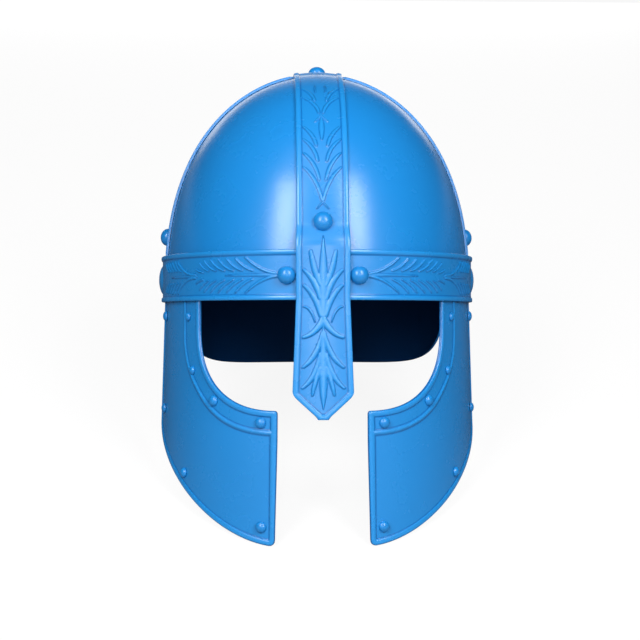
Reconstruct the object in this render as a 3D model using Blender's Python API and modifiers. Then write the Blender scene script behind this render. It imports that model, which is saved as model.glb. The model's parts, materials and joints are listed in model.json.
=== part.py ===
"""Medieval helmet: a riveted crown of four plates under crossed bands, with a
nasal, a brow band, two cheek plates and a neck guard.

Everything is modelled upright in the helmet's own frame: the face looks along
-Y, +Z is up, and z = 0 is the brow band's lower edge. The whole helmet is then
tipped back on its cheek tips and neck rim, the way it rests on a table.
Lengths are in metres, angles in degrees where a name says so.
"""
import bisect
import math

import bmesh
import bpy
from mathutils import Matrix, Vector

# Crown
CROWN_HALF_WIDTH = 0.1015
CROWN_HALF_LENGTH = 0.1165
CROWN_HEIGHT = 0.1525
CROWN_FULLNESS = 2.5
PLATE_THICKNESS = 0.0014
PLATE_SEAM = 0.0044
PLATE_FOOT = 0.0092
PLATE_TOP_GAP = 0.0072

# Gap between any two layers of metal, and how far a facet may dip from its curve
LAYER_GAP = 0.00032
FACET_SAG = 0.00045

# Bands over the crown
BAND_HALF_WIDTH = 0.0155
BAND_THICKNESS = 0.0011
BAND_RIM_WIDTH = 0.0030
BAND_RIM_HEIGHT = 0.0009
RIM_SLOPE = 0.0006
CROSS_HALF_WIDTH = 0.0160
CROSS_THICKNESS = 0.0011
CROSS_RIM_WIDTH = 0.0030
CROSS_RIM_HEIGHT = 0.0007
JOGGLE_RUN = 0.0090

# Nasal, the front end of the long band
NASAL_DROP = 0.0710
NASAL_HALF_WIDTH = 0.0172
NASAL_CORNER = 0.0145
NASAL_TIP_HALF_WIDTH = 0.0022
NASAL_LEAN_DEG = 2.0

# Brow band
BROW_HEIGHT = 0.0302
BROW_THICKNESS = 0.0011
BROW_RIM_WIDTH = 0.0027
BROW_RIM_HEIGHT = 0.0009
EAR_BOSS_HALF_LENGTH = 0.0150
EAR_BOSS_HALF_HEIGHT = 0.0098
EAR_BOSS_HEIGHT = 0.0028
EAR_BOSS_DEPTH = 0.0036

# Plates that hang from behind the brow band
SKIRT_TOP = 0.0080
SKIRT_THICKNESS = 0.0014
SKIRT_RIM_HEIGHT = 0.0008
SKIRT_RIM_WIDTH = 0.0032

# Cheek plates
CHEEK_FRONT_TOP = 0.0273
CHEEK_FRONT_FOOT = 0.0290
CHEEK_REAR_AZIMUTH_DEG = 83.0
CHEEK_FLARE_DEG = 1.78
EYE_SIDE = 0.0755
EYE_BEND_HEIGHT = -0.0150
EYE_FLOOR = -0.0664
EYE_FULLNESS = 2.5
JAW_BEND_HEIGHT = -0.0800
JAW_FLOOR = -0.1475
JAW_FULLNESS = 1.7
RIDGE_INSET = 0.0170
RIDGE_HALF_WIDTH = 0.0009
RIDGE_HEIGHT = 0.0008
EYE_RIVET_INSET = 0.0122
CORNER_RIVET_INSET = 0.0076
CHIN_FRONT_RIVET_INSET = 0.0102
CHIN_SIDE_RIVET_INSET = 0.0082
REAR_TOP_RIVET_INSET = 0.0114
REAR_FOOT_RIVET_INSET = 0.0160

# Neck guard
NECK_HALF_SPAN_DEG = 66.0
NECK_DROP = 0.0442
NECK_SIDE_FULLNESS = 6.0
NECK_CROWDING = 1.35
NECK_TOP_INSET = 0.0128

# Rivets and studs
STUD_RADIUS = 0.0059
STUD_HEIGHT = 0.0053
STUD_SHANK_RADIUS = 0.0016
LARGE_RIVET_RADIUS = 0.0034
SMALL_RIVET_RADIUS = 0.0027
RIVET_RISE = 0.70
DOME_SHOULDER = 0.72
DOME_SHOULDER_RISE = 0.70
RIVET_SHANK_RADIUS = 0.0011
TAIL_OVERHANG = 0.0012
TAIL_THICKNESS = 0.0010
HOLE_CLEARANCE = 0.00035
STUD_ARC = 0.0467
SIDE_STUD_ARC = 0.0442
BROW_STUD_RADIUS = 0.0055
BROW_STUD_Z = 0.0148

# Raised foliage
LEAF_HEIGHT = 0.0009
LEAF_ROOT_DEPTH = 0.0006
LEAF_WIDTH = 0.0019
LEAF_POINT = 0.14
LEAF_END_HEIGHT = 0.45
FROND_FOOT = 0.0530
FROND_LENGTH = 0.1030

# Facets
CROWN_LEVELS = 9
CROWN_COLUMNS = 8
BAND_STEP = 0.0088
PLAIN_BAND_STEP = 0.0120
LONG_BAND_STEP = 0.0352
BAND_INNER_SHARES = (1.0, 0.55, 0.0, -0.55, -1.0)
BROW_COLUMNS = 64
NECK_COLUMNS = 18
CHEEK_BEND_DEGREES = (15.0, 30.0, 44.0, 57.0, 69.0, 79.0)
CHEEK_FIELD_ROWS = 5
STUD_SIDES = 9
RIVET_SIDES = 7

# Leaves of the upper frond: place along the frond and across the half field, as shares,
# of the outer tip and of the inner root, with the leaf's width and bow as shares too.
FROND_PAIRS = [
    # tip along, tip across, root along, root across, width, bow
    (0.96, 0.78, 0.79, 0.22, 1.0, 0.10),
    (0.86, 0.86, 0.67, 0.10, 1.0, 0.10),
    (0.56, 0.88, 0.41, 0.24, 1.2, -0.10),
    (0.47, 0.88, 0.31, 0.24, 1.2, -0.10),
    (0.37, 0.88, 0.20, 0.24, 1.2, -0.10),
    (0.27, 0.88, 0.07, 0.16, 1.2, -0.10),
    (0.02, 0.34, 0.06, 0.08, 0.9, 0.00),
]
FROND_SPEARS = [
    # top along, foot along, width
    (0.98, 0.90, 0.8),
    (0.64, 0.46, 2.0),
]

# Leaves of the nasal, along as shares of its drop below the brow band's lower edge.
NASAL_PAIRS = [
    # tip along, tip across, root along, root across, width, bow
    (0.40, 0.50, 0.02, 0.16, 1.1, -0.08),
    (0.245, 0.86, -0.06, 0.12, 1.1, -0.12),
    (0.125, 0.86, -0.10, 0.10, 1.1, -0.14),
    (-0.06, 0.84, -0.17, 0.36, 1.0, -0.12),
    (-0.31, 0.86, -0.18, 0.05, 1.5, 0.16),
    (-0.55, 0.84, -0.36, 0.10, 1.2, 0.16),
    (-0.73, 0.82, -0.50, 0.12, 1.2, 0.16),
    (-0.78, 0.42, -0.58, 0.16, 1.1, 0.10),
]
NASAL_SPEARS = [
    # top along, foot along, width
    (0.545, 0.10, 1.9),
    (-0.28, -0.90, 1.9),
]

# Leaves of the brow band, along as shares of the way from the stud to the ear,
# up as shares of the half field above its middle; each has a twin below the middle.
BROW_LEAVES = [
    # root along, root up, tip along, tip up, width, bow
    (0.06, 0.04, 0.17, 0.92, 1.2, 0.16),
    (0.14, 0.14, 0.24, 0.84, 1.1, 0.12),
    (0.21, 0.22, 0.29, 0.86, 1.1, 0.12),
    (0.255, 0.24, 0.345, 0.86, 1.1, 0.12),
    (0.30, 0.22, 0.39, 0.84, 1.1, 0.12),
    (0.35, 0.20, 0.43, 0.80, 1.1, 0.12),
    (0.41, 0.14, 0.48, 0.46, 1.1, 0.10),
    (0.51, 0.08, 0.62, 0.90, 1.2, 0.14),
    (0.59, 0.14, 0.69, 0.86, 1.1, 0.12),
    (0.66, 0.18, 0.76, 0.84, 1.1, 0.12),
    (0.73, 0.20, 0.82, 0.76, 1.1, 0.12),
]

# Cheek rivets: the edge each one follows, how far along it, and how far in from it.
CHEEK_RIVETS = [
    # name, edge, share of the edge's length, inset, large head
    ("eye_top", "eye", 0.153, EYE_RIVET_INSET, False),
    ("eye_side", "eye", 0.412, EYE_RIVET_INSET, False),
    ("eye_corner", "eye", 0.613, CORNER_RIVET_INSET, True),
    ("eye_front", "eye", 0.910, CORNER_RIVET_INSET, True),
    ("chin_front", "jaw", 0.954, CHIN_FRONT_RIVET_INSET, True),
    ("chin_side", "jaw", 0.637, CHIN_SIDE_RIVET_INSET, False),
    ("rear_top", "jaw", 0.074, REAR_TOP_RIVET_INSET, True),
    ("rear_foot", "jaw", 0.349, REAR_FOOT_RIVET_INSET, False),
]

PAINT = (0.02, 0.19, 0.72, 1.0)
PAINT_LIGHT = (0.05, 0.26, 0.80, 1.0)

UP = Vector((0.0, 0.0, 1.0))


def clear_scene():
    for thing in list(bpy.data.objects):
        bpy.data.objects.remove(thing, do_unlink=True)


def new_collection(name):
    collection = bpy.data.collections.new(name)
    bpy.context.scene.collection.children.link(collection)
    return collection


def paint(name, colour=PAINT):
    material = bpy.data.materials.new(name + "_paint")
    material.use_nodes = True
    shader = material.node_tree.nodes["Principled BSDF"]
    shader.inputs["Base Color"].default_value = colour
    shader.inputs["Roughness"].default_value = 0.42
    shader.inputs["Metallic"].default_value = 0.25
    return material


def add_mesh(name, mesh, collection, parent, colour=PAINT):
    """A mesh as a named, painted object under the helmet's empty."""
    thing = bpy.data.objects.new(name, mesh)
    if not mesh.materials:
        mesh.materials.append(paint(name, colour))
    collection.objects.link(thing)
    thing.parent = parent
    return thing


def mesh_from(bm, name):
    bmesh.ops.recalc_face_normals(bm, faces=bm.faces)
    mesh = bpy.data.meshes.new(name)
    bm.to_mesh(mesh)
    bm.free()
    return mesh


def loft(name, rings, closed=False, half=0):
    """A body lofted through rings of equal count; `half` is how many of a ring's points
    are on its outer side, so that its end caps are strips of quads across the wall."""
    bm = bmesh.new()
    rows = [[bm.verts.new(point) for point in ring] for ring in rings]
    count = len(rings[0])
    spans = len(rows) if closed else len(rows) - 1
    for i in range(spans):
        near = rows[i]
        far = rows[(i + 1) % len(rows)]
        for k in range(count):
            n = (k + 1) % count
            bm.faces.new((near[k], near[n], far[n], far[k]))
    if not closed:
        for row in (rows[0], rows[-1]):
            if half:
                for k in range(half - 1):
                    bm.faces.new((row[k], row[k + 1], row[count - 2 - k], row[count - 1 - k]))
            else:
                bm.faces.new(row)
    return mesh_from(bm, name)


# The crown's outer face


def crown_value(point):
    """1 on the crown's outer face, less inside; below the brow it is a straight wall."""
    share = max(point.z, 0.0) / CROWN_HEIGHT
    return ((point.x / CROWN_HALF_WIDTH) ** 2 + (point.y / CROWN_HALF_LENGTH) ** 2
            + share ** CROWN_FULLNESS)


def crown_normal(point):
    share = max(point.z, 0.0) / CROWN_HEIGHT
    return Vector((2.0 * point.x / CROWN_HALF_WIDTH ** 2, 2.0 * point.y / CROWN_HALF_LENGTH ** 2,
                   CROWN_FULLNESS * share ** (CROWN_FULLNESS - 1.0) / CROWN_HEIGHT)).normalized()


def onto_crown(point, inward):
    """Slide a point inward until it lies on the crown's outer face."""
    near = 0.0
    far = CROWN_HALF_WIDTH / 4.0
    for _ in range(40):
        middle = (near + far) / 2.0
        if crown_value(point + inward * middle) > 1.0:
            near = middle
        else:
            far = middle
    return point + inward * near


class CrownPath:
    """The way over the crown in one upright plane, measured from the brow on one side."""

    def __init__(self, start, across, half_span, steps=600):
        self.start = start
        self.across = across
        self.half_span = half_span
        self.arcs = [0.0]
        self.spots = [(half_span, 0.0)]
        for i in range(1, steps + 1):
            angle = math.pi / 2.0 * i / steps
            height = CROWN_HEIGHT * math.sin(angle) ** (2.0 / CROWN_FULLNESS)
            reach = half_span * max(math.cos(angle), 0.0)
            last = self.spots[-1]
            self.arcs.append(self.arcs[-1] + math.hypot(reach - last[0], height - last[1]))
            self.spots.append((reach, height))
        self.quarter = self.arcs[-1]

    def spot(self, arc):
        """How far out and how high the path is at an arc length from the brow."""
        if arc <= 0.0:
            return self.half_span, arc
        k = min(bisect.bisect_left(self.arcs, arc), len(self.arcs) - 1)
        share = (arc - self.arcs[k - 1]) / (self.arcs[k] - self.arcs[k - 1])
        low = self.spots[k - 1]
        high = self.spots[k]
        return low[0] + (high[0] - low[0]) * share, low[1] + (high[1] - low[1]) * share

    def place(self, arc, across, lift):
        """A point on or above the crown: along the path, to one side of it, and raised."""
        side = 1.0 if arc <= self.quarter else -1.0
        reach, height = self.spot(arc if side > 0.0 else 2.0 * self.quarter - arc)
        base = self.start * (side * reach) + UP * height
        point = onto_crown(base + self.across * across, -crown_normal(base))
        return point + crown_normal(point) * lift


def wall_point(azimuth, height, half_width, half_length, lift=0.0):
    """A point on an upright oval wall; azimuth 0 is the front, growing towards +X."""
    point = Vector((half_width * math.sin(azimuth), -half_length * math.cos(azimuth), height))
    outward = Vector((point.x / half_width ** 2, point.y / half_length ** 2, 0.0)).normalized()
    return point + outward * lift


def smooth_step(value, low, high):
    share = min(max((value - low) / (high - low), 0.0), 1.0)
    return share * share * (3.0 - 2.0 * share)


# Sizes that follow from the layers

BROW_HALF_WIDTH = CROWN_HALF_WIDTH + LAYER_GAP + CROSS_THICKNESS + LAYER_GAP
BROW_HALF_LENGTH = CROWN_HALF_LENGTH + LAYER_GAP
BROW_FIELD_HALF_WIDTH = BROW_HALF_WIDTH + BROW_THICKNESS
BROW_FIELD_HALF_LENGTH = BROW_HALF_LENGTH + BROW_THICKNESS
BROW_FRONT = BROW_FIELD_HALF_LENGTH + BROW_RIM_HEIGHT
SKIRT_HALF_WIDTH = BROW_HALF_WIDTH - LAYER_GAP - SKIRT_RIM_HEIGHT
SKIRT_HALF_LENGTH = BROW_HALF_LENGTH - LAYER_GAP - SKIRT_RIM_HEIGHT
SKIRT_MEAN_RADIUS = (SKIRT_HALF_WIDTH + SKIRT_HALF_LENGTH) / 2.0
CHEEK_FLARE = math.tan(math.radians(CHEEK_FLARE_DEG))
NASAL_LEAN = math.tan(math.radians(NASAL_LEAN_DEG))
BROW_STUD_X = BAND_HALF_WIDTH + BROW_STUD_RADIUS + 2.0 * LAYER_GAP
LONG_PATH = CrownPath(Vector((0.0, -1.0, 0.0)), Vector((1.0, 0.0, 0.0)), CROWN_HALF_LENGTH)
CROSS_PATH = CrownPath(Vector((-1.0, 0.0, 0.0)), Vector((0.0, -1.0, 0.0)), CROWN_HALF_WIDTH)


# Crown plates


def crown_plate(name, side, end, collection, parent):
    """A quarter of the crown, from behind the brow band up to under the bands' crossing."""
    top_share = PLATE_TOP_GAP / CROWN_HALF_WIDTH
    foot = PLATE_FOOT
    top_arc = LONG_PATH.quarter - PLATE_TOP_GAP * CROWN_HALF_LENGTH / CROWN_HALF_WIDTH
    bm = bmesh.new()
    grid = []
    for i in range(CROWN_LEVELS + 1):
        arc = foot + (top_arc - foot) * i / CROWN_LEVELS
        reach, height = LONG_PATH.spot(arc)
        share = max(reach / CROWN_HALF_LENGTH, top_share)
        first = math.asin(PLATE_SEAM / 2.0 / (share * CROWN_HALF_WIDTH))
        last = math.acos(PLATE_SEAM / 2.0 / (share * CROWN_HALF_LENGTH))
        row = []
        for k in range(CROWN_COLUMNS + 1):
            azimuth = first + (last - first) * k / CROWN_COLUMNS
            row.append(bm.verts.new((side * CROWN_HALF_WIDTH * share * math.sin(azimuth),
                                     end * CROWN_HALF_LENGTH * share * math.cos(azimuth),
                                     height)))
        grid.append(row)
    for low, high in zip(grid, grid[1:]):
        for k in range(CROWN_COLUMNS):
            bm.faces.new((low[k], low[k + 1], high[k + 1], high[k]))
    bm.normal_update()
    middle = grid[CROWN_LEVELS // 2][CROWN_COLUMNS // 2]
    if middle.normal.dot(middle.co) < 0.0:
        bmesh.ops.reverse_faces(bm, faces=bm.faces)
    mesh = bpy.data.meshes.new(name)
    bm.to_mesh(mesh)
    bm.free()
    mesh.shade_smooth()
    plate = add_mesh(name, mesh, collection, parent)
    solidify = plate.modifiers.new("sheet", "SOLIDIFY")
    solidify.thickness = PLATE_THICKNESS
    solidify.offset = -1.0
    solidify.use_even_offset = True
    return plate


# Bands


def band_ring(path, arc, half_width, rim_width, rim_height, thickness, lift):
    """A band's section: rims, sloped steps and field outside, five points inside."""
    field = half_width - rim_width - RIM_SLOPE
    edge = half_width - rim_width
    raised = lift + thickness + rim_height
    level = lift + thickness
    if field <= RIM_SLOPE:
        edge = half_width / 2.0
        field = half_width / 4.0
        level = raised
    outer = [(-half_width, raised), (-edge, raised), (-field, level), (0.0, level),
             (field, level), (edge, raised), (half_width, raised)]
    inner = [(half_width * share, lift) for share in BAND_INNER_SHARES]
    return [path.place(arc, across, height) for across, height in outer + inner]


def even_arcs(first, last, step):
    count = max(1, math.ceil((last - first) / step))
    return [first + (last - first) * i / count for i in range(count + 1)]


def long_band_lift(arc):
    """How high the long band's inner face runs over the crown's outer face."""
    from_end = arc if arc <= LONG_PATH.quarter else 2.0 * LONG_PATH.quarter - arc
    reach, _ = LONG_PATH.spot(from_end)
    over_brow = BROW_FRONT + LAYER_GAP - min(reach, CROWN_HALF_LENGTH)
    brow_end = BROW_HEIGHT + LAYER_GAP * 2.0
    down = smooth_step(from_end, brow_end, brow_end + JOGGLE_RUN)
    lift = over_brow + (LAYER_GAP - over_brow) * down
    to_crossing = LONG_PATH.quarter - from_end
    over_cross = CROSS_THICKNESS + LAYER_GAP
    rise = 1.0 - smooth_step(to_crossing, CROSS_HALF_WIDTH + LAYER_GAP * 3.0,
                             CROSS_HALF_WIDTH + LAYER_GAP * 3.0 + JOGGLE_RUN)
    return lift + over_cross * rise + max(-arc, 0.0) * NASAL_LEAN


def long_band_half_width(arc):
    """The band's half width: even on the crown, wider down the nasal, then to a point."""
    if arc >= 0.0:
        return BAND_HALF_WIDTH
    shoulder = NASAL_DROP - NASAL_CORNER
    if -arc <= shoulder:
        return BAND_HALF_WIDTH + (NASAL_HALF_WIDTH - BAND_HALF_WIDTH) * (-arc / shoulder)
    share = (-arc - shoulder) / NASAL_CORNER
    return NASAL_HALF_WIDTH + (NASAL_TIP_HALF_WIDTH - NASAL_HALF_WIDTH) * share


def centre_band(collection, parent):
    """The band from the nasal's tip over the crown to the nape, in one piece."""
    path = LONG_PATH
    shoulder = NASAL_DROP - NASAL_CORNER
    brow_end = BROW_HEIGHT + LAYER_GAP * 2.0
    crossing = CROSS_HALF_WIDTH + LAYER_GAP * 3.0
    slant = math.hypot(NASAL_CORNER, NASAL_HALF_WIDTH - NASAL_TIP_HALF_WIDTH) / NASAL_CORNER
    rim_apex = NASAL_DROP - (BAND_RIM_WIDTH * slant + 2.0 * RIM_SLOPE) * NASAL_CORNER \
        / (NASAL_HALF_WIDTH - NASAL_TIP_HALF_WIDTH)
    crown_end = path.quarter - crossing - JOGGLE_RUN

    def half_arcs(step):
        arcs = even_arcs(0.0, brow_end, LONG_BAND_STEP)
        arcs += even_arcs(brow_end, brow_end + JOGGLE_RUN, JOGGLE_RUN / 3.0)[1:]
        arcs += even_arcs(brow_end + JOGGLE_RUN, crown_end, step)[1:]
        arcs += even_arcs(crown_end, crown_end + JOGGLE_RUN, JOGGLE_RUN / 3.0)[1:]
        return arcs + even_arcs(crown_end + JOGGLE_RUN, path.quarter, BAND_STEP)[1:]

    arcs = [-NASAL_DROP, -rim_apex, -(shoulder + NASAL_CORNER * 0.3)]
    arcs += even_arcs(-shoulder, 0.0, LONG_BAND_STEP)[:-1]
    arcs += half_arcs(BAND_STEP)
    arcs += [2.0 * path.quarter - arc for arc in reversed(half_arcs(PLAIN_BAND_STEP)[:-1])]
    rings = []
    for arc in arcs:
        width = long_band_half_width(arc)
        rim = BAND_RIM_WIDTH * (slant if -arc > shoulder else 1.0)
        rings.append(band_ring(path, arc, width, rim, BAND_RIM_HEIGHT, BAND_THICKNESS,
                               long_band_lift(arc)))
    mesh = loft("centre_band", rings)
    return add_mesh("centre_band", mesh, collection, parent, PAINT_LIGHT)


def transverse_band(collection, parent):
    """The ear-to-ear band: its ends go behind the brow band, its middle under the other."""
    path = CROSS_PATH
    crossing = BAND_HALF_WIDTH + LAYER_GAP * 4.0
    brow_end = BROW_HEIGHT + LAYER_GAP * 2.0
    fade = RIM_SLOPE * 2.0
    half = [PLATE_FOOT, brow_end, brow_end + fade]
    crown_end = path.quarter - crossing - fade
    half += even_arcs(half[-1], crown_end, PLAIN_BAND_STEP)[1:]
    half += even_arcs(path.quarter - crossing, path.quarter, BAND_STEP)
    arcs = half + [2.0 * path.quarter - arc for arc in reversed(half[:-1])]
    rings = []
    for arc in arcs:
        from_end = min(arc, 2.0 * path.quarter - arc)
        free = brow_end + fade / 2.0 < from_end < path.quarter - crossing - fade / 2.0
        rim_height = CROSS_RIM_HEIGHT if free else 0.0
        rings.append(band_ring(path, arc, CROSS_HALF_WIDTH, CROSS_RIM_WIDTH, rim_height,
                               CROSS_THICKNESS, LAYER_GAP))
    mesh = loft("transverse_band", rings)
    return add_mesh("transverse_band", mesh, collection, parent)


def brow_point(azimuth, height, lift):
    """A point over the brow band's field."""
    return wall_point(azimuth, height, BROW_FIELD_HALF_WIDTH, BROW_FIELD_HALF_LENGTH, lift)


def brow_band(collection, parent):
    """The ring round the head, with a raised rim along each edge."""
    edge = BROW_RIM_WIDTH
    foot = BROW_RIM_WIDTH + RIM_SLOPE
    section = [(0.0, BROW_RIM_HEIGHT), (edge, BROW_RIM_HEIGHT), (foot, 0.0),
               (BROW_HEIGHT - foot, 0.0), (BROW_HEIGHT - edge, BROW_RIM_HEIGHT),
               (BROW_HEIGHT, BROW_RIM_HEIGHT), (BROW_HEIGHT, -BROW_THICKNESS),
               (0.0, -BROW_THICKNESS)]
    rings = []
    for i in range(BROW_COLUMNS):
        azimuth = 2.0 * math.pi * i / BROW_COLUMNS
        rings.append([brow_point(azimuth, height, lift) for height, lift in section])
    mesh = loft("brow_band", rings, closed=True)
    return add_mesh("brow_band", mesh, collection, parent)


# Hanging plates


def cheek_azimuth(across, height):
    """The azimuth at which the flared cheek wall is this far to the side."""
    half_width = SKIRT_HALF_WIDTH - CHEEK_FLARE * min(height, 0.0)
    return math.asin(min(across / half_width, 1.0))


def bend(centre_across, centre_height, run, drop, fullness, across):
    """Height of a bent edge that goes from upright at its side to level at the front."""
    share = min(max((across - centre_across) / run, 0.0), 1.0)
    return centre_height - drop * (1.0 - share ** fullness) ** (1.0 / fullness)


def cheek_edge(front, side, bend_height, floor, fullness, side_azimuth):
    """An edge as (developed distance, height): down the side, round the bend, to the front."""
    run = side - front
    drop = bend_height - floor
    spots = [(side_azimuth(SKIRT_TOP), SKIRT_TOP), (side_azimuth(0.0), 0.0)]
    spots += [(side_azimuth(bend_height * share), bend_height * share) for share in (0.5, 1.0)]
    for angle in CHEEK_BEND_DEGREES:
        across = front + run * math.cos(math.radians(angle)) ** (2.0 / fullness)
        height = bend(front, bend_height, run, drop, fullness, across)
        spots.append((cheek_azimuth(across, height), height))
    for inset in (SKIRT_RIM_WIDTH + RIM_SLOPE, SKIRT_RIM_WIDTH, 0.0):
        across = front + inset
        height = bend(front, bend_height, run, drop, fullness, across)
        spots.append((cheek_azimuth(across, height), height))
    return [(azimuth * SKIRT_MEAN_RADIUS, height) for azimuth, height in spots]


def inset_edge(spots, distance, towards):
    """The edge moved square to itself by a distance, to the side where `towards` lies."""
    moved = []
    for i, spot in enumerate(spots):
        before = spots[max(i - 1, 0)]
        after = spots[min(i + 1, len(spots) - 1)]
        run = Vector((after[0] - before[0], after[1] - before[1])).normalized()
        square = Vector((-run.y, run.x))
        aim = Vector((towards[i][0] - spot[0], towards[i][1] - spot[1]))
        if square.dot(aim) < 0.0:
            square = -square
        moved.append((spot[0] + square.x * distance, spot[1] + square.y * distance))
    return moved


def edge_spot(edge, towards, share, inset):
    """The place a share of the way along an edge, and a distance in from it."""
    moved = inset_edge(edge, inset, towards)
    runs = [math.dist(a, b) for a, b in zip(edge, edge[1:])]
    left = sum(runs) * share
    i = 0
    while left > runs[i] and i < len(runs) - 1:
        left -= runs[i]
        i += 1
    part = left / runs[i]
    return tuple(a + (b - a) * part for a, b in zip(moved[i], moved[i + 1]))


def skirt_point(distance, height, lift, flare):
    half_width = SKIRT_HALF_WIDTH - flare * min(height, 0.0)
    return wall_point(distance / SKIRT_MEAN_RADIUS, height, half_width, SKIRT_HALF_LENGTH, lift)


def skirt_mesh(name, rows, front_rim, flare):
    """A hanging plate from rows of (edge spots, raise), with a plain inner face."""
    columns = len(rows[0][0])
    rings = []
    for i in range(columns):
        in_rim = front_rim and i >= columns - 2
        outer = []
        inner = []
        for spots, raised in rows:
            distance, height = spots[i]
            lift = SKIRT_RIM_HEIGHT if in_rim else raised
            outer.append(skirt_point(distance, height, lift, flare))
            inner.append(skirt_point(distance, height, -SKIRT_THICKNESS, flare))
        rings.append(outer + inner[::-1])
    return loft(name, rings, half=len(rows))


def between(first, second, share):
    return [(a[0] + (b[0] - a[0]) * share, a[1] + (b[1] - a[1]) * share)
            for a, b in zip(first, second)]


def cheek_edges():
    """The right cheek plate's edges: round the eye to the front, and down the rear to the jaw."""
    rear = math.radians(CHEEK_REAR_AZIMUTH_DEG)
    jaw_half_width = SKIRT_HALF_WIDTH - CHEEK_FLARE * JAW_BEND_HEIGHT
    eye = cheek_edge(CHEEK_FRONT_TOP, EYE_SIDE, EYE_BEND_HEIGHT, EYE_FLOOR, EYE_FULLNESS,
                     lambda height: cheek_azimuth(EYE_SIDE, height))
    jaw = cheek_edge(CHEEK_FRONT_FOOT, jaw_half_width * math.sin(rear), JAW_BEND_HEIGHT, JAW_FLOOR,
                     JAW_FULLNESS, lambda height: rear)
    return eye, jaw


def cheek_plate(name, collection, parent, mirrored):
    """A cheek plate: raised borders, and a ridge that follows the eye opening."""
    eye, jaw = cheek_edges()
    border = SKIRT_RIM_WIDTH
    step = SKIRT_RIM_WIDTH + RIM_SLOPE
    ridge_in = inset_edge(eye, RIDGE_INSET - RIDGE_HALF_WIDTH, jaw)
    ridge_out = inset_edge(eye, RIDGE_INSET + RIDGE_HALF_WIDTH, jaw)
    jaw_step = inset_edge(jaw, step, eye)
    eye_step = inset_edge(eye, step, jaw)
    rows = [(eye, SKIRT_RIM_HEIGHT), (inset_edge(eye, border, jaw), SKIRT_RIM_HEIGHT),
            (eye_step, 0.0), (ridge_in, 0.0),
            (inset_edge(eye, RIDGE_INSET, jaw), RIDGE_HEIGHT), (ridge_out, 0.0)]
    rows += [(between(ridge_out, jaw_step, row / CHEEK_FIELD_ROWS), 0.0)
             for row in range(1, CHEEK_FIELD_ROWS)]
    rows += [(jaw_step, 0.0), (inset_edge(jaw, border, eye), SKIRT_RIM_HEIGHT),
             (jaw, SKIRT_RIM_HEIGHT)]
    mesh = skirt_mesh(name, rows, True, CHEEK_FLARE)
    if mirrored:
        mesh.transform(Matrix.Scale(-1.0, 4, Vector((1.0, 0.0, 0.0))))
        mesh.flip_normals()
    return add_mesh(name, mesh, collection, parent)


def neck_guard(collection, parent):
    """The plate round the nape: a level lower edge with rounded front corners."""
    span = math.radians(NECK_HALF_SPAN_DEG)
    edge = [(-span * SKIRT_MEAN_RADIUS, SKIRT_TOP)]
    top = [(-span * SKIRT_MEAN_RADIUS + SKIRT_TOP, SKIRT_TOP)]
    for i in range(NECK_COLUMNS):
        share = -1.0 + 2.0 * i / (NECK_COLUMNS - 1)
        spread = math.copysign(1.0 - (1.0 - abs(share)) ** NECK_CROWDING, share)
        depth = math.sqrt(max(1.0 - abs(spread) ** NECK_SIDE_FULLNESS, 0.0))
        edge.append((spread * span * SKIRT_MEAN_RADIUS, -NECK_DROP * depth))
        inward = spread * (span * SKIRT_MEAN_RADIUS - NECK_TOP_INSET)
        top.append((inward, SKIRT_TOP))
    edge.append((span * SKIRT_MEAN_RADIUS, SKIRT_TOP))
    top.append((span * SKIRT_MEAN_RADIUS - SKIRT_TOP, SKIRT_TOP))
    rim = inset_edge(edge, SKIRT_RIM_WIDTH, top)
    step = inset_edge(edge, SKIRT_RIM_WIDTH + RIM_SLOPE, top)
    rows = [(top, 0.0), (between(top, step, 0.5), 0.0), (step, 0.0), (rim, SKIRT_RIM_HEIGHT),
            (edge, SKIRT_RIM_HEIGHT)]
    mesh = skirt_mesh("neck_guard", rows, False, 0.0)
    mesh.transform(Matrix.Rotation(math.pi, 4, "Z"))
    return add_mesh("neck_guard", mesh, collection, parent)


# Raised foliage


def leaf_rings(surface, root, tip, width, bow, stations):
    """A leaf as rings of three points: a crest between two sunk sides, pointed at its ends."""
    run = Vector((tip[0] - root[0], tip[1] - root[1]))
    square = Vector((-run.y, run.x)).normalized()
    rings = []
    for i in range(stations):
        share = i / (stations - 1)
        spread = max(math.sin(math.pi * share), LEAF_POINT)
        middle = Vector(root) + run * share + square * (bow * run.length * 4.0 * share
                                                        * (1.0 - share))
        half = square * (width * LEAF_WIDTH / 2.0 * spread + LEAF_ROOT_DEPTH / 2.0)
        crest = LEAF_HEIGHT * (LEAF_END_HEIGHT + (1.0 - LEAF_END_HEIGHT) * spread)
        left = middle - half
        right = middle + half
        rings.append([surface(left.x, left.y, -LEAF_ROOT_DEPTH),
                      surface(middle.x, middle.y, crest),
                      surface(right.x, right.y, -LEAF_ROOT_DEPTH)])
    return rings


def join_leaves(name, leaves, cutters, parent):
    """All leaves of a band as one guide object for the union with it."""
    bm = bmesh.new()
    for rings in leaves:
        mesh = loft(name, rings)
        bm.from_mesh(mesh)
        bpy.data.meshes.remove(mesh)
    guide = add_mesh(name, mesh_from(bm, name), cutters, parent)
    return guide


def combine(thing, guide, operation):
    guide.display_type = "WIRE"
    guide.hide_render = True
    modifier = thing.modifiers.new(guide.name, "BOOLEAN")
    modifier.operation = operation
    modifier.object = guide
    modifier.solver = "EXACT"
    modifier.use_self = operation == "UNION"


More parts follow.
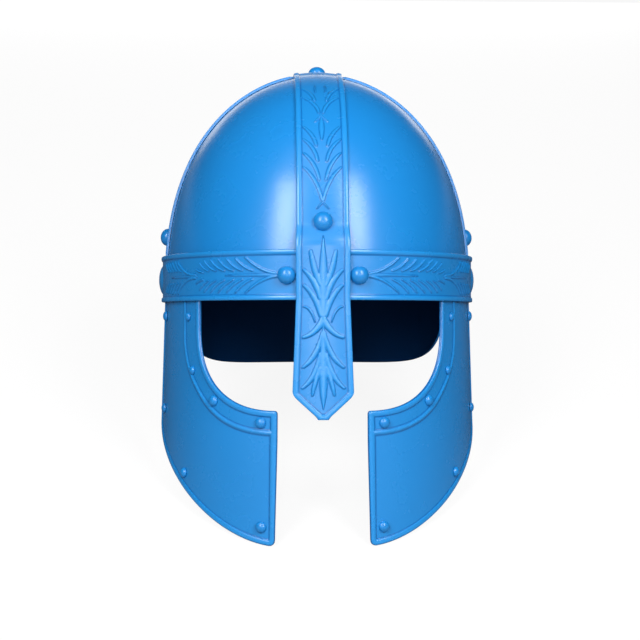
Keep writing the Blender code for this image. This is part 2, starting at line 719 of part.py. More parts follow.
def frond_leaves():
    """The foliage on the front half of the long band, above and below the brow."""
    half_field = BAND_HALF_WIDTH - BAND_RIM_WIDTH - RIM_SLOPE

    def surface(arc, across, height):
        return LONG_PATH.place(arc, across, long_band_lift(arc) + BAND_THICKNESS + height)

    def pair(tip_along, tip_across, root_along, root_across, width, bow, start, length):
        made = []
        for side in (-1.0, 1.0):
            root = (start + length * root_along, side * half_field * root_across)
            tip = (start + length * tip_along, side * half_field * tip_across)
            turn = side if tip[0] > root[0] else -side
            made.append(leaf_rings(surface, root, tip, width, bow * turn, 3))
        return made

    leaves = []
    for row in FROND_PAIRS:
        leaves += pair(*row, FROND_FOOT, FROND_LENGTH)
    for row in NASAL_PAIRS:
        leaves += pair(*row, 0.0, NASAL_DROP)
    for high, low, width in FROND_SPEARS:
        leaves.append(leaf_rings(surface, (FROND_FOOT + FROND_LENGTH * low, 0.0),
                                 (FROND_FOOT + FROND_LENGTH * high, 0.0), width, 0.0, 4))
    for high, low, width in NASAL_SPEARS:
        leaves.append(leaf_rings(surface, (NASAL_DROP * low, 0.0), (NASAL_DROP * high, 0.0),
                                 width, 0.0, 4))
    return leaves


def brow_leaves():
    """The foliage on the front half of the brow band, from each stud to the ear."""
    half_field = BROW_HEIGHT / 2.0 - BROW_RIM_WIDTH - RIM_SLOPE
    radius = (BROW_FIELD_HALF_WIDTH + BROW_FIELD_HALF_LENGTH) / 2.0
    first = (BROW_STUD_X + BROW_STUD_RADIUS / 2.0) / radius
    last = math.pi / 2.0
    leaves = []
    for side in (-1.0, 1.0):
        def surface(distance, up, height, side=side):
            return brow_point(side * distance / radius, BROW_HEIGHT / 2.0 + up, height)

        for root_along, root_up, tip_along, tip_up, width, bow in BROW_LEAVES:
            for half in (-1.0, 1.0):
                root = ((first + (last - first) * root_along) * radius, half * half_field * root_up)
                tip = ((first + (last - first) * tip_along) * radius, half * half_field * tip_up)
                leaves.append(leaf_rings(surface, root, tip, width, bow * half, 3))
    return leaves


def ear_bosses(cutters, parent):
    """A low oval boss on the brow band over each ear, as a guide for the union."""
    bm = bmesh.new()
    reach = BROW_FIELD_HALF_WIDTH
    for side in (-1.0, 1.0):
        made = bmesh.ops.create_uvsphere(bm, u_segments=10, v_segments=6, radius=1.0)
        turn = Matrix.Rotation(math.pi / 2.0, 4, "Y")
        size = Matrix.Diagonal((EAR_BOSS_DEPTH, EAR_BOSS_HALF_LENGTH, EAR_BOSS_HALF_HEIGHT, 1.0))
        move = Matrix.Translation((side * (reach + EAR_BOSS_HEIGHT - EAR_BOSS_DEPTH), 0.0,
                                   BROW_HEIGHT / 2.0))
        bmesh.ops.transform(bm, matrix=move @ size @ turn, verts=made["verts"])
    for side in (-1.0, 1.0):
        geometry = [thing for thing in bm.verts[:] + bm.edges[:] + bm.faces[:]]
        flat = side * (reach - BROW_THICKNESS / 2.0)
        chosen = [thing for thing in geometry
                  if (thing.co.x if isinstance(thing, bmesh.types.BMVert)
                      else sum(v.co.x for v in thing.verts)) * side > 0.0]
        cut = bmesh.ops.bisect_plane(bm, geom=chosen, plane_co=(flat, 0.0, 0.0),
                                     plane_no=(side, 0.0, 0.0), clear_inner=True)
        rim = [thing for thing in cut["geom_cut"] if isinstance(thing, bmesh.types.BMEdge)]
        bmesh.ops.contextual_create(bm, geom=rim)
    return add_mesh("ear_boss_guide", mesh_from(bm, "ear_boss_guide"), cutters, parent)


# Rivets


def rivet_mesh(name, radius, rise, shank_radius, grip):
    """A domed head over a shank that ends in a peened tail, turned about Z."""
    tail = shank_radius + TAIL_OVERHANG
    profile = [(0.0, rise), (radius * DOME_SHOULDER, rise * DOME_SHOULDER_RISE), (radius, 0.0),
               (shank_radius, 0.0),
               (shank_radius, -grip), (tail, -grip), (0.0, -grip - TAIL_THICKNESS)]
    mesh = bpy.data.meshes.new(name)
    mesh.from_pydata([(x, 0.0, z) for x, z in profile],
                     [(i, i + 1) for i in range(len(profile) - 1)], [])
    return mesh


def add_rivet(name, mesh, place, outward, sides, collection, parent):
    rivet = add_mesh(name, mesh, collection, parent)
    rivet.location = place
    rivet.rotation_euler = outward.to_track_quat("Z", "Y").to_euler()
    screw = rivet.modifiers.new("turned", "SCREW")
    screw.axis = "Z"
    screw.steps = sides
    screw.render_steps = sides
    screw.use_merge_vertices = True
    screw.merge_threshold = 0.00001
    return rivet


def hole_guide(name, spots, cutters, parent):
    """Short round cutters, one for each (place, outward direction, radius)."""
    bm = bmesh.new()
    depth = STUD_RADIUS * 2.0
    for place, outward, radius in spots:
        turn = outward.to_track_quat("Z", "Y").to_matrix().to_4x4()
        bmesh.ops.create_cone(bm, cap_ends=True, segments=6, radius1=radius, radius2=radius,
                              depth=depth, matrix=Matrix.Translation(place) @ turn)
    return add_mesh(name, mesh_from(bm, name), cutters, parent)


def rest_tilt(front_points, back_points):
    """The angle at which the lowest front and back points are level, and their height."""
    def lowest(points, angle):
        return min(p.z * math.cos(angle) - p.y * math.sin(angle) for p in points)

    low = 0.0
    high = math.radians(60.0)
    for _ in range(60):
        middle = (low + high) / 2.0
        if lowest(front_points, middle) < lowest(back_points, middle):
            low = middle
        else:
            high = middle
    return low, lowest(front_points, low)


def build():
    clear_scene()
    parts = new_collection("medieval_helmet")
    cutters = new_collection("cutters")
    frame = bpy.data.objects.new("helmet_frame", None)
    parts.objects.link(frame)

    plates = {}
    for side_name, side in (("left", -1.0), ("right", 1.0)):
        for end_name, end in (("front", -1.0), ("back", 1.0)):
            name = "crown_plate_{}_{}".format(end_name, side_name)
            plates[side_name, end_name] = crown_plate(name, side, end, parts, frame)
    long_band = centre_band(parts, frame)
    cross_band = transverse_band(parts, frame)
    ring = brow_band(parts, frame)
    cheeks = {"left": cheek_plate("cheek_plate_left", parts, frame, True),
              "right": cheek_plate("cheek_plate_right", parts, frame, False)}
    guard = neck_guard(parts, frame)

    combine(long_band, join_leaves("frond_guide", frond_leaves(), cutters, frame), "UNION")
    combine(ring, join_leaves("brow_leaf_guide", brow_leaves(), cutters, frame), "UNION")
    combine(ring, ear_bosses(cutters, frame), "UNION")

    # Studs on the long band, whose shanks pass between the plates' seams
    stud_hole = STUD_SHANK_RADIUS + HOLE_CLEARANCE
    long_holes = []
    cross_holes = []
    apex_arc = LONG_PATH.quarter
    grips = {"front": BAND_THICKNESS + PLATE_THICKNESS + 3.0 * LAYER_GAP,
             "apex": BAND_THICKNESS + CROSS_THICKNESS + PLATE_THICKNESS + 4.0 * LAYER_GAP}
    grips["back"] = grips["front"]
    for name, arc in (("front", STUD_ARC), ("apex", apex_arc), ("back", 2.0 * apex_arc - STUD_ARC)):
        field = LONG_PATH.place(arc, 0.0, long_band_lift(arc) + BAND_THICKNESS)
        outward = crown_normal(LONG_PATH.place(arc, 0.0, 0.0))
        long_holes.append((field, outward, stud_hole))
        mesh = rivet_mesh(name + "_stud", STUD_RADIUS, STUD_HEIGHT, STUD_SHANK_RADIUS,
                          grips[name] + FACET_SAG)
        add_rivet(name + "_stud", mesh, field + outward * LAYER_GAP, outward, STUD_SIDES,
                  parts, frame)
    cross_holes.append(long_holes[1])

    for name, arc in (("left", SIDE_STUD_ARC), ("right", 2.0 * CROSS_PATH.quarter - SIDE_STUD_ARC)):
        field = CROSS_PATH.place(arc, 0.0, LAYER_GAP + CROSS_THICKNESS)
        outward = crown_normal(CROSS_PATH.place(arc, 0.0, 0.0))
        cross_holes.append((field, outward, stud_hole))
        mesh = rivet_mesh(name + "_stud", STUD_RADIUS, STUD_HEIGHT, STUD_SHANK_RADIUS,
                          CROSS_THICKNESS + PLATE_THICKNESS + 3.0 * LAYER_GAP + FACET_SAG)
        add_rivet(name + "_stud", mesh, field + outward * LAYER_GAP, outward, STUD_SIDES,
                  parts, frame)

    # Studs through the brow band and the crown plate behind it
    ring_holes = []
    brow_angle = math.asin(BROW_STUD_X / BROW_FIELD_HALF_WIDTH)
    for side_name, side in (("left", -1.0), ("right", 1.0)):
        for end_name, start, turn in (("front", 0.0, 1.0), ("back", math.pi, -1.0)):
            azimuth = start + side * turn * brow_angle
            field = brow_point(azimuth, BROW_STUD_Z, 0.0)
            outward = (brow_point(azimuth, BROW_STUD_Z, 1.0) - field).normalized()
            spot = (field, outward, stud_hole)
            ring_holes.append(spot)
            name = "brow_stud_{}_{}".format(end_name, side_name)
            grip = BROW_THICKNESS + PLATE_THICKNESS + 4.0 * LAYER_GAP + FACET_SAG
            mesh = rivet_mesh(name, BROW_STUD_RADIUS, STUD_HEIGHT, STUD_SHANK_RADIUS, grip)
            add_rivet(name, mesh, field + outward * LAYER_GAP, outward, STUD_SIDES,
                      parts, frame)
            guide = hole_guide(name + "_plate_hole", [spot], cutters, frame)
            combine(plates[side_name, end_name], guide, "DIFFERENCE")
    combine(long_band, hole_guide("long_band_holes", long_holes, cutters, frame), "DIFFERENCE")
    combine(cross_band, hole_guide("cross_band_holes", cross_holes, cutters, frame), "DIFFERENCE")
    combine(ring, hole_guide("brow_band_holes", ring_holes, cutters, frame), "DIFFERENCE")

    # Rivets round each cheek plate
    eye, jaw = cheek_edges()
    for side_name, side in (("left", -1.0), ("right", 1.0)):
        holes = []
        for spot_name, edge, share, inset, large in CHEEK_RIVETS:
            radius = LARGE_RIVET_RADIUS if large else SMALL_RIVET_RADIUS
            if edge == "eye":
                distance, height = edge_spot(eye, jaw, share, inset)
            else:
                distance, height = edge_spot(jaw, eye, share, inset)
            field = skirt_point(side * distance, height, 0.0, CHEEK_FLARE)
            outward = (skirt_point(side * distance, height, 1.0, CHEEK_FLARE) - field).normalized()
            holes.append((field, outward, RIVET_SHANK_RADIUS + HOLE_CLEARANCE))
            name = "cheek_rivet_{}_{}".format(spot_name, side_name)
            mesh = rivet_mesh(name, radius, radius * RIVET_RISE, RIVET_SHANK_RADIUS,
                              SKIRT_THICKNESS + 2.0 * LAYER_GAP + FACET_SAG)
            add_rivet(name, mesh, field + outward * LAYER_GAP, outward, RIVET_SIDES,
                      parts, frame)
        guide = hole_guide("cheek_holes_" + side_name, holes, cutters, frame)
        combine(cheeks[side_name], guide, "DIFFERENCE")

    # Tip the helmet back until it stands on its cheek tips and neck rim
    front_points = [v.co for v in cheeks["left"].data.vertices]
    back_points = [v.co for v in guard.data.vertices]
    tilt, floor = rest_tilt(front_points, back_points)
    turn = Matrix.Rotation(-tilt, 4, "X")
    reach = [(turn @ v.co).y for thing in (long_band, cross_band, ring, guard, cheeks["left"])
             for v in thing.data.vertices]
    frame.rotation_euler = (-tilt, 0.0, 0.0)
    frame.location = (0.0, -(min(reach) + max(reach)) / 2.0, -floor)


build()
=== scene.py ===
# %% [markdown]
# # Dressing a riveted helmet
# The solids already say where every plate, band and rivet of this helmet is. This lesson
# gives them their looks: finer metal, carved leaf work, blue paint, a floor and lights.
# Sizes are in metres. The solids come in from model.glb through a few small helpers, which
# also hang every new piece on one body and hide the solid that it stands for.

# %% Load the solids
import json
import math

import bpy
import numpy as np
from mathutils import Matrix, Vector


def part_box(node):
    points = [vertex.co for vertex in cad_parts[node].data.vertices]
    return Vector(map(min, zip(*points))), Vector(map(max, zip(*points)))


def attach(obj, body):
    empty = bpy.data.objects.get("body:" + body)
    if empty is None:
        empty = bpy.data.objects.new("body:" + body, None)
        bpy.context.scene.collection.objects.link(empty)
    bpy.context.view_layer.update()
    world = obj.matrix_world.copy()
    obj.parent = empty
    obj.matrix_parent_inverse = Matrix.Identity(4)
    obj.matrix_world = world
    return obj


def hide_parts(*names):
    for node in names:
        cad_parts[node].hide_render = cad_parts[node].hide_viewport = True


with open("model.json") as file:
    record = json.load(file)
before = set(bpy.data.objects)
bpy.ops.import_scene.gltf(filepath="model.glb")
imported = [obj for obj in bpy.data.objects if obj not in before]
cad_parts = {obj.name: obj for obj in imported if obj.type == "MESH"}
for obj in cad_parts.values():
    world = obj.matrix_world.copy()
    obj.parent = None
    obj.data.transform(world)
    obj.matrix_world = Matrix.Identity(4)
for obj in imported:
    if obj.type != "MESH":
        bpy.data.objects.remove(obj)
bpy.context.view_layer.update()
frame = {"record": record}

# %% [markdown]
# ## The helmet's own axes
# On a table the helmet leans back on its cheek tips and neck rim, so its own upright isn't
# the room's. Modelling in leaning axes would be awkward. It is easier to build each piece
# upright, with the brow band's lower edge at height 0 and the face towards -Y, and to lean
# it over at the end with one matrix. The lean can be read off the solids: the mounting face
# under the brow band points straight down in the helmet's own axes.

# %% From upright to leaning
BROW_HEIGHT = 0.0302
MM = 0.001

rim_face = next(m for m in frame["record"]["mounts"] if m["name"] == "brow_rim_right")
upright = -Vector(rim_face["axis"]).normalized()
lean = math.atan2(upright.y, upright.z)
brow_low, brow_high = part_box("brow_band")
brow_middle = (Vector(brow_low) + Vector(brow_high)) / 2
HELMET = (Matrix.Translation(brow_middle - upright * BROW_HEIGHT / 2)
          @ Matrix.Rotation(-lean, 4, "X"))
print("leans back by", round(math.degrees(lean), 2), "degrees")

# %% [markdown]
# ## The shape of the crown
# A smith raises the crown's plates to one smooth dome, an oval from above and a full arch
# from the side. A sculpted dome would never fit the bands exactly. A formula does: a point is
# on the dome where (x/a)^2 + (y/b)^2 + (z/h)^2.5 is 1, and below the brow the wall is straight.
# The same formula gives the direction square to the metal, which every band is laid along.
# numpy works on thousands of points at once, so each function takes whole arrays.

# %% The dome and the direction square to it
CROWN_HALF_WIDTH = 0.1015
CROWN_HALF_LENGTH = 0.1165
CROWN_HEIGHT = 0.1525
CROWN_FULLNESS = 2.5


def crown_value(points):
    x, y, z = np.moveaxis(points, -1, 0)
    share = np.maximum(z, 0) / CROWN_HEIGHT
    return ((x / CROWN_HALF_WIDTH) ** 2 + (y / CROWN_HALF_LENGTH) ** 2
            + share ** CROWN_FULLNESS)


def crown_normal(points):
    x, y, z = np.moveaxis(points, -1, 0)
    share = np.maximum(z, 0) / CROWN_HEIGHT
    slope = np.stack([2 * x / CROWN_HALF_WIDTH ** 2, 2 * y / CROWN_HALF_LENGTH ** 2,
                      CROWN_FULLNESS * share ** (CROWN_FULLNESS - 1) / CROWN_HEIGHT], -1)
    return slope / np.linalg.norm(slope, axis=-1, keepdims=True)


HALVINGS = 36


def onto_crown(points, inward):
    """Slide points inward, halving the step each time, until they lie on the dome."""
    near = np.zeros(points.shape[:-1])
    far = np.full(points.shape[:-1], CROWN_HALF_WIDTH / 4)
    for _ in range(HALVINGS):
        middle = (near + far) / 2
        outside = crown_value(points + inward * middle[..., None]) > 1
        near = np.where(outside, middle, near)
        far = np.where(outside, far, middle)
    return points + inward * near[..., None]


# %% [markdown]
# ## Ways over the crown
# The two long bands are bent over the dome, one from face to nape and one from ear to ear.
# A band is easiest to draw flat, as a strip with a length and a width, and then to wrap. So
# each way over the dome is kept as a ruler: how far out and how high it is after so many
# millimetres of metal, starting at the brow. `wrap` takes a flat strip's points to the dome.

# %% Rulers over the dome
UP = np.array([0, 0, 1.0])


class Ruler:
    def __init__(self, start, across, half_span, steps=600):
        self.start = np.array(start)
        self.across = np.array(across)
        angle = np.linspace(0, math.pi / 2, steps + 1)
        self.reach = half_span * np.cos(angle)
        self.height = CROWN_HEIGHT * np.sin(angle) ** (2 / CROWN_FULLNESS)
        lengths = np.hypot(np.diff(self.reach), np.diff(self.height))
        self.arc = np.concatenate([[0], np.cumsum(lengths)])
        self.quarter = self.arc[-1]

    def spot(self, arc):
        from_end = np.where(arc <= self.quarter, arc, 2 * self.quarter - arc)
        reach = np.interp(from_end, self.arc, self.reach)
        height = np.where(from_end <= 0, from_end, np.interp(from_end, self.arc, self.height))
        return reach, height

    def wrap(self, arc, across, lift):
        arc, across, lift = np.broadcast_arrays(arc, across, lift)
        reach, height = self.spot(arc)
        side = np.where(arc <= self.quarter, 1.0, -1.0)
        base = self.start * (side * reach)[..., None] + UP * height[..., None]
        points = onto_crown(base + self.across * across[..., None], -crown_normal(base))
        return points + crown_normal(points) * lift[..., None]


face_to_nape = Ruler((0.0, -1.0, 0.0), (1.0, 0.0, 0.0), CROWN_HALF_LENGTH)
ear_to_ear = Ruler((-1.0, 0.0, 0.0), (0.0, -1.0, 0.0), CROWN_HALF_WIDTH)
print("brow to apex:", round(face_to_nape.quarter / MM), "mm over the face,",
      round(ear_to_ear.quarter / MM), "mm over an ear")


def wall(azimuth, height, half_width, half_length, lift):
    """Points on an upright oval wall, raised off it; azimuth 0 is the face."""
    azimuth, height, half_width, lift = np.broadcast_arrays(azimuth, height, half_width, lift)
    x = half_width * np.sin(azimuth)
    y = -half_length * np.cos(azimuth)
    out = np.stack([x / half_width ** 2, y / half_length ** 2, np.zeros_like(x)], -1)
    out /= np.linalg.norm(out, axis=-1, keepdims=True)
    return np.stack([x, y, height], -1) + out * lift[..., None]


# %% [markdown]
# ## Blue paint, satin outside, with painted shade inside and on the carving
# The helmet is painted one blue all over, with a satin gloss that gives broad, soft lights.
# Paint isn't one flat colour: a sprayed coat is a little uneven. On top of that the colour
# carries painted light: painted shade darkens the foot of each leaf, rim and bead, and a
# painted highlight lightens their crests. A picture could carry that, but a procedural
# material stays sharp at any distance. Three noises give the drift of colour, the worn spots
# of the satin and the fine orange-peel skin. Each carved mesh stores its painted shade and
# highlight as a value per point, named `painted_shade_and_highlight`, which the paint reads.
# Inside, the blue is darkened as painted shade and has almost no gloss, so that the inside
# stays dark.

# %% A material from a few words
def wire(tree, kind, links=None, **settings):
    """Add a shader node, set its values and link its sockets."""
    made = tree.nodes.new(kind)
    for key, value in settings.items():
        if key in made.inputs:
            made.inputs[key].default_value = value
        else:
            setattr(made, key, value)
    for socket, source in (links or {}).items():
        tree.links.new(source, made.inputs[socket])
    return made


DRIFT = 0.05
WEAR = 0.025
PEEL_HEIGHT = 0.0003
PEEL_SHOWN = 0.03


def paint(name, colour, roughness, gloss, painted_shade_colour=None):
    """Sprayed paint; given a colour of painted shade, it mixes in painted shade and highlight
    per point.
    """
    material = bpy.data.materials.new(name)
    material.use_nodes = True
    tree = material.node_tree
    shader = tree.nodes["Principled BSDF"]
    shader.inputs["Roughness"].default_value = roughness
    shader.inputs["Specular IOR Level"].default_value = gloss
    place = wire(tree, "ShaderNodeTexCoord").outputs["Object"]
    drift = wire(tree, "ShaderNodeTexNoise", {"Vector": place}, Scale=16.0, Detail=3.0)
    coat = wire(tree, "ShaderNodeMix", data_type="RGBA")
    coat.inputs["A"].default_value = (*[c * (1 - DRIFT) for c in colour], 1)
    coat.inputs["B"].default_value = (*[c * (1 + DRIFT) for c in colour], 1)
    tree.links.new(drift.outputs["Fac"], coat.inputs["Factor"])
    top = coat.outputs["Result"]
    if painted_shade_colour:
        # Mix in the painted shade colour where a point's painted light value is low; crests
        # keep the lighter blue as a painted highlight.
        painted_light_value = wire(tree, "ShaderNodeAttribute", attribute_name="painted_shade_and_highlight")
        painted_shade_mix = wire(tree, "ShaderNodeMix", data_type="RGBA")
        painted_shade_mix.inputs["A"].default_value = (*painted_shade_colour, 1)
        tree.links.new(top, painted_shade_mix.inputs["B"])
        tree.links.new(painted_light_value.outputs["Fac"], painted_shade_mix.inputs["Factor"])
        top = painted_shade_mix.outputs["Result"]
    tree.links.new(top, shader.inputs["Base Color"])
    wear = wire(tree, "ShaderNodeTexNoise", {"Vector": place}, Scale=60.0, Detail=4.0)
    satin = wire(tree, "ShaderNodeMapRange", {"Value": wear.outputs["Fac"]})
    satin.inputs["To Min"].default_value = roughness - WEAR
    satin.inputs["To Max"].default_value = roughness + WEAR
    tree.links.new(satin.outputs["Result"], shader.inputs["Roughness"])
    peel = wire(tree, "ShaderNodeTexNoise", {"Vector": place}, Scale=420.0, Detail=1.5)
    skin = wire(tree, "ShaderNodeBump", {"Height": peel.outputs["Fac"]},
                Strength=PEEL_SHOWN, Distance=PEEL_HEIGHT)
    tree.links.new(skin.outputs["Normal"], shader.inputs["Normal"])
    return material


# Plain blue; for the carving a lighter blue, a painted highlight on crests, and a darker blue,
# painted shade at the feet of slopes; the inside blue is darkened as painted shade.
SKY = (0.009, 0.205, 0.56)
PAINTED_HIGHLIGHT_BLUE = (0.013, 0.235, 0.61)
PAINTED_SHADE_BLUE = (0.003, 0.120, 0.38)
INSIDE_PAINTED_SHADE_BLUE = (0.002, 0.035, 0.13)
SATIN = dict(roughness=0.27, gloss=0.55)
blue_plain = paint("satin blue paint", SKY, **SATIN)
blue_with_painted_shade = paint("satin blue paint with painted shade and highlight", PAINTED_HIGHLIGHT_BLUE, **SATIN, painted_shade_colour=PAINTED_SHADE_BLUE)
inside_painted_shade = paint("blue paint darkened inside as painted shade", INSIDE_PAINTED_SHADE_BLUE, roughness=0.45, gloss=0.05)
print("paints:", blue_plain.name, "/", blue_with_painted_shade.name, "/", inside_painted_shade.name)

# %% [markdown]
# ## Sheet metal from two grids
# Every plate and band here is bent sheet: an outer face, an inner face and a narrow edge.
# Blender's Solidify modifier would thicken one face, but then both sides carry the carving
# and twice the points. `sheet` takes a fine grid for the outside and a coarser one for the
# plain inside, which share their rows, and closes the edges between them. Outside and edges
# get the blue, and the inside gets the blue darkened as painted shade.

# %% Build a sheet, and put a piece in its place
SHEET_FOLD = math.radians(62)


def sheet(name, outer, inner, closed=False, painted_shade_and_highlight=None):
    """A mesh from two grids of points, joined along their edges."""
    rows, across = outer.shape[:2]
    out = np.arange(rows * across).reshape(rows, across)
    under = np.arange(rows * inner.shape[1]).reshape(rows, -1) + out.size
    if closed:
        out = np.vstack([out, out[:1]])
        under = np.vstack([under, under[:1]])
    face = np.stack([out[:-1, :-1], out[:-1, 1:], out[1:, 1:], out[1:, :-1]], -1).reshape(-1, 4)
    back = np.stack([under[:-1, :-1], under[1:, :-1], under[1:, 1:], under[:-1, 1:]],
                    -1).reshape(-1, 4)
    one = np.stack([out[:-1, 0], out[1:, 0], under[1:, 0], under[:-1, 0]], -1)
    other = np.stack([out[:-1, -1], under[:-1, -1], under[1:, -1], out[1:, -1]], -1)
    faces = face.tolist() + one.tolist() + other.tolist()
    if not closed:
        faces.append([*out[0][::-1].tolist(), *under[0].tolist()])
        faces.append([*out[-1].tolist(), *under[-1][::-1].tolist()])
    inside_from = len(faces)
    faces += back.tolist()
    points = np.concatenate([outer.reshape(-1, 3), inner.reshape(-1, 3)])
    corner = points[face[len(face) // 2]]
    normal = np.cross(corner[1] - corner[0], corner[3] - corner[0])
    thickness = outer[rows // 2, across // 2] - inner[rows // 2, inner.shape[1] // 2]
    if normal @ thickness < 0:
        faces = [f[::-1] for f in faces]
    mesh = bpy.data.meshes.new(name)
    mesh.from_pydata(points.tolist(), [], faces)
    mesh.shade_smooth()
    mesh.set_sharp_from_angle(angle=SHEET_FOLD)
    # The inner faces take the second material: the blue darkened as painted shade.
    slots = np.zeros(len(faces), dtype=np.int32)
    slots[inside_from:] = 1
    mesh.polygons.foreach_set("material_index", slots)
    # Store each outer point's painted shade and highlight for the paint; the inner points get
    # 0.
    if painted_shade_and_highlight is not None:
        values = np.zeros(len(points), dtype=np.float32)
        values[:painted_shade_and_highlight.size] = painted_shade_and_highlight.ravel()
        mesh.attributes.new("painted_shade_and_highlight", "FLOAT", "POINT").data.foreach_set("value", values)
    return mesh


def fit(name, mesh, node, materials, place=Matrix.Identity(4)):
    """A piece at its place on the helmet, standing for one solid."""
    for material in materials:
        mesh.materials.append(material)
    mesh.transform(HELMET @ place)
    piece = bpy.data.objects.new(name, mesh)
    bpy.context.scene.collection.objects.link(piece)
    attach(piece, "root")
    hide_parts(node)
    return piece


# %% [markdown]
# ## Crown plates
# Four plates close the dome, one in each quarter, and their edges meet under the bands. A
# subdivided sphere could be cut in four, but a grid of latitude and longitude drawn with the
# dome's formula lies exactly where the solids lie, and its seams are straight. Each plate
# starts behind the brow band and stops just short of the apex, where the stud goes through.

# %% Four quarters of the dome
PLATE_THICKNESS = 0.0014
PLATE_SEAM = 0.0044
PLATE_FOOT = 0.0092
PLATE_TOP_GAP = 0.0072


def crown_plate(side, end, levels=72, columns=56):
    top_arc = face_to_nape.quarter - PLATE_TOP_GAP * CROWN_HALF_LENGTH / CROWN_HALF_WIDTH
    arc = np.linspace(PLATE_FOOT, top_arc, levels)
    reach, height = face_to_nape.spot(arc)
    share = np.maximum(reach / CROWN_HALF_LENGTH, PLATE_TOP_GAP / CROWN_HALF_WIDTH)
    first = np.arcsin(PLATE_SEAM / 2 / (share * CROWN_HALF_WIDTH))
    last = np.arccos(PLATE_SEAM / 2 / (share * CROWN_HALF_LENGTH))
    azimuth = first[:, None] + (last - first)[:, None] * np.linspace(0, 1, columns)
    x = side * CROWN_HALF_WIDTH * share[:, None] * np.sin(azimuth)
    y = end * CROWN_HALF_LENGTH * share[:, None] * np.cos(azimuth)
    outer = np.stack([x, y, np.broadcast_to(height[:, None], x.shape)], -1)
    return outer, outer - crown_normal(outer) * PLATE_THICKNESS


for side_name, side in (("left", -1), ("right", 1)):
    for end_name, end in (("front", -1), ("back", 1)):
        node = "crown_plate_{}_{}".format(end_name, side_name)
        mesh = sheet(node, *crown_plate(side, end))
        fit("painted_" + node, mesh, node, [blue_plain, inside_painted_shade])
print("crown plates: 4")

# %% [markdown]
# ## Rims and rounded edges
# Every band and plate has a border: a low, slightly rounded rim, a small step down and then
# the flat field. On the real helmet it is cast or pressed in. A bevelled strip laid on top
# would need its own corners, so the rim is a height that depends only on how far a point is
# from the outline: it follows every curve and mitres itself at each corner.

# %% Heights from the distance to the outline
RIM_SLOPE = 0.0006
RIM_CROWN = 0.30
EDGE_ROUND = 0.00045


def ease(value, low, high):
    share = np.clip((value - low) / (high - low), 0, 1)
    return share * share * (3 - 2 * share)


def rim(distance, width, height, rounding=EDGE_ROUND):
    """A crowned rim along an outline, with its outer edge rounded off."""
    on_rim = 1 - ease(distance, width, width + RIM_SLOPE)
    crowned = 1 - RIM_CROWN * np.clip(np.abs(distance - width / 2) / (width / 2), 0, 1) ** 2
    left = np.clip(rounding - distance, 0, rounding)
    rounded = rounding - np.sqrt(rounding ** 2 - left ** 2)
    return height * on_rim * crowned - rounded


EDGE_STEPS = np.array([0, 0.06, 0.18, 0.35, 0.55]) * MM


def columns_from(half_width, spacing):
    """Places across a band, closer together along its edges."""
    inner = half_width - EDGE_STEPS[-1]
    even = np.linspace(0, inner, max(2, round(inner / spacing) + 1))[1:-1]
    half = np.concatenate([even, half_width - EDGE_STEPS[::-1]])
    return np.concatenate([-half[::-1], [0.0], half])


# %% [markdown]
# ## Carved leaves
# The leaf work stands up from the field: each leaf is a stroke that starts narrow at the
# stem, swells and ends in a point. Modelling a leaf as its own mesh and sinking it into the
# band leaves a seam all round it. Here the leaves are pressed into the band's own height, as
# the founder's mould does: a stroke is a curve with a width, and near it the metal rises in
# a half round. Where strokes meet, the higher one wins, so they grow together.

# %% Press strokes into a height field
FOOT_SHADE = 0.0007
LEAF_FULLNESS = 2.4
# Painted shade and highlight on the carving: flat metal gets FLAT_TONE, lit slopes reach it,
# and crests get PAINTED_HIGHLIGHT_TONE more as a painted highlight.
FLAT_TONE = 0.8
SLOPE_LIT = 0.6
PAINTED_HIGHLIGHT_TONE = 0.2


def stroke(root, bend, tip, widths, soft=(1.0, 1.0), count=15):
    """A curved stroke: its path, half widths along it, and how softly each side falls."""
    t = np.linspace(0, 1, count)[:, None]
    points = np.array([root, bend, tip]) * MM
    path = (1 - t) ** 2 * points[0] + 2 * t * (1 - t) * points[1] + t * t * points[2]
    half = ((1 - t) ** 2 * widths[0] + 2 * t * (1 - t) * widths[1] + t * t * widths[2]) * MM
    return path, half[:, 0], soft


def mirrored(made):
    path, half, soft = made
    return path * [1, -1], half, soft[::-1]


def press(along, across, strokes, crest):
    """How high the strokes raise a flat strip's points, and how far outside they lie."""
    height = np.zeros(along.shape)
    outside = np.full(along.shape, FOOT_SHADE)
    for path, half, soft in strokes:
        reach = half.max() * max(soft) + FOOT_SHADE
        low = path.min(0) - reach
        high = path.max(0) + reach
        near = ((along > low[0]) & (along < high[0]) & (across > low[1]) & (across < high[1]))
        u = along[near]
        v = across[near]
        closest = np.full(u.shape, 1.0)
        gap = np.full(u.shape, FOOT_SHADE)
        for k in range(len(path) - 1):
            run = path[k + 1] - path[k]
            share = ((u - path[k, 0]) * run[0] + (v - path[k, 1]) * run[1]) / (run @ run)
            share = np.clip(share, 0, 1)
            du = u - path[k, 0] - run[0] * share
            dv = v - path[k, 1] - run[1] * share
            side = np.where(run[0] * dv - run[1] * du > 0, soft[0], soft[1])
            width = (half[k] + (half[k + 1] - half[k]) * share) * side
            away = np.hypot(du, dv)
            closest = np.minimum(closest, away / width)
            gap = np.minimum(gap, away - width)
        swell = (1 - closest ** LEAF_FULLNESS) ** (1 / LEAF_FULLNESS)
        height[near] = np.maximum(height[near], crest * swell)
        outside[near] = np.minimum(outside[near], gap)
    return height, outside


def shade(height, crest, outside):
    """Painted light: 0 is painted shade at the foot of a slope, FLAT_TONE the flat, 1 a painted
    highlight on a crest.
    """
    flat = FLAT_TONE * ease(outside, 0, FOOT_SHADE)
    share = np.clip(height / crest, 0, 1)
    return np.maximum(flat, FLAT_TONE * ease(share, 0, SLOPE_LIT) + PAINTED_HIGHLIGHT_TONE * share ** 4)


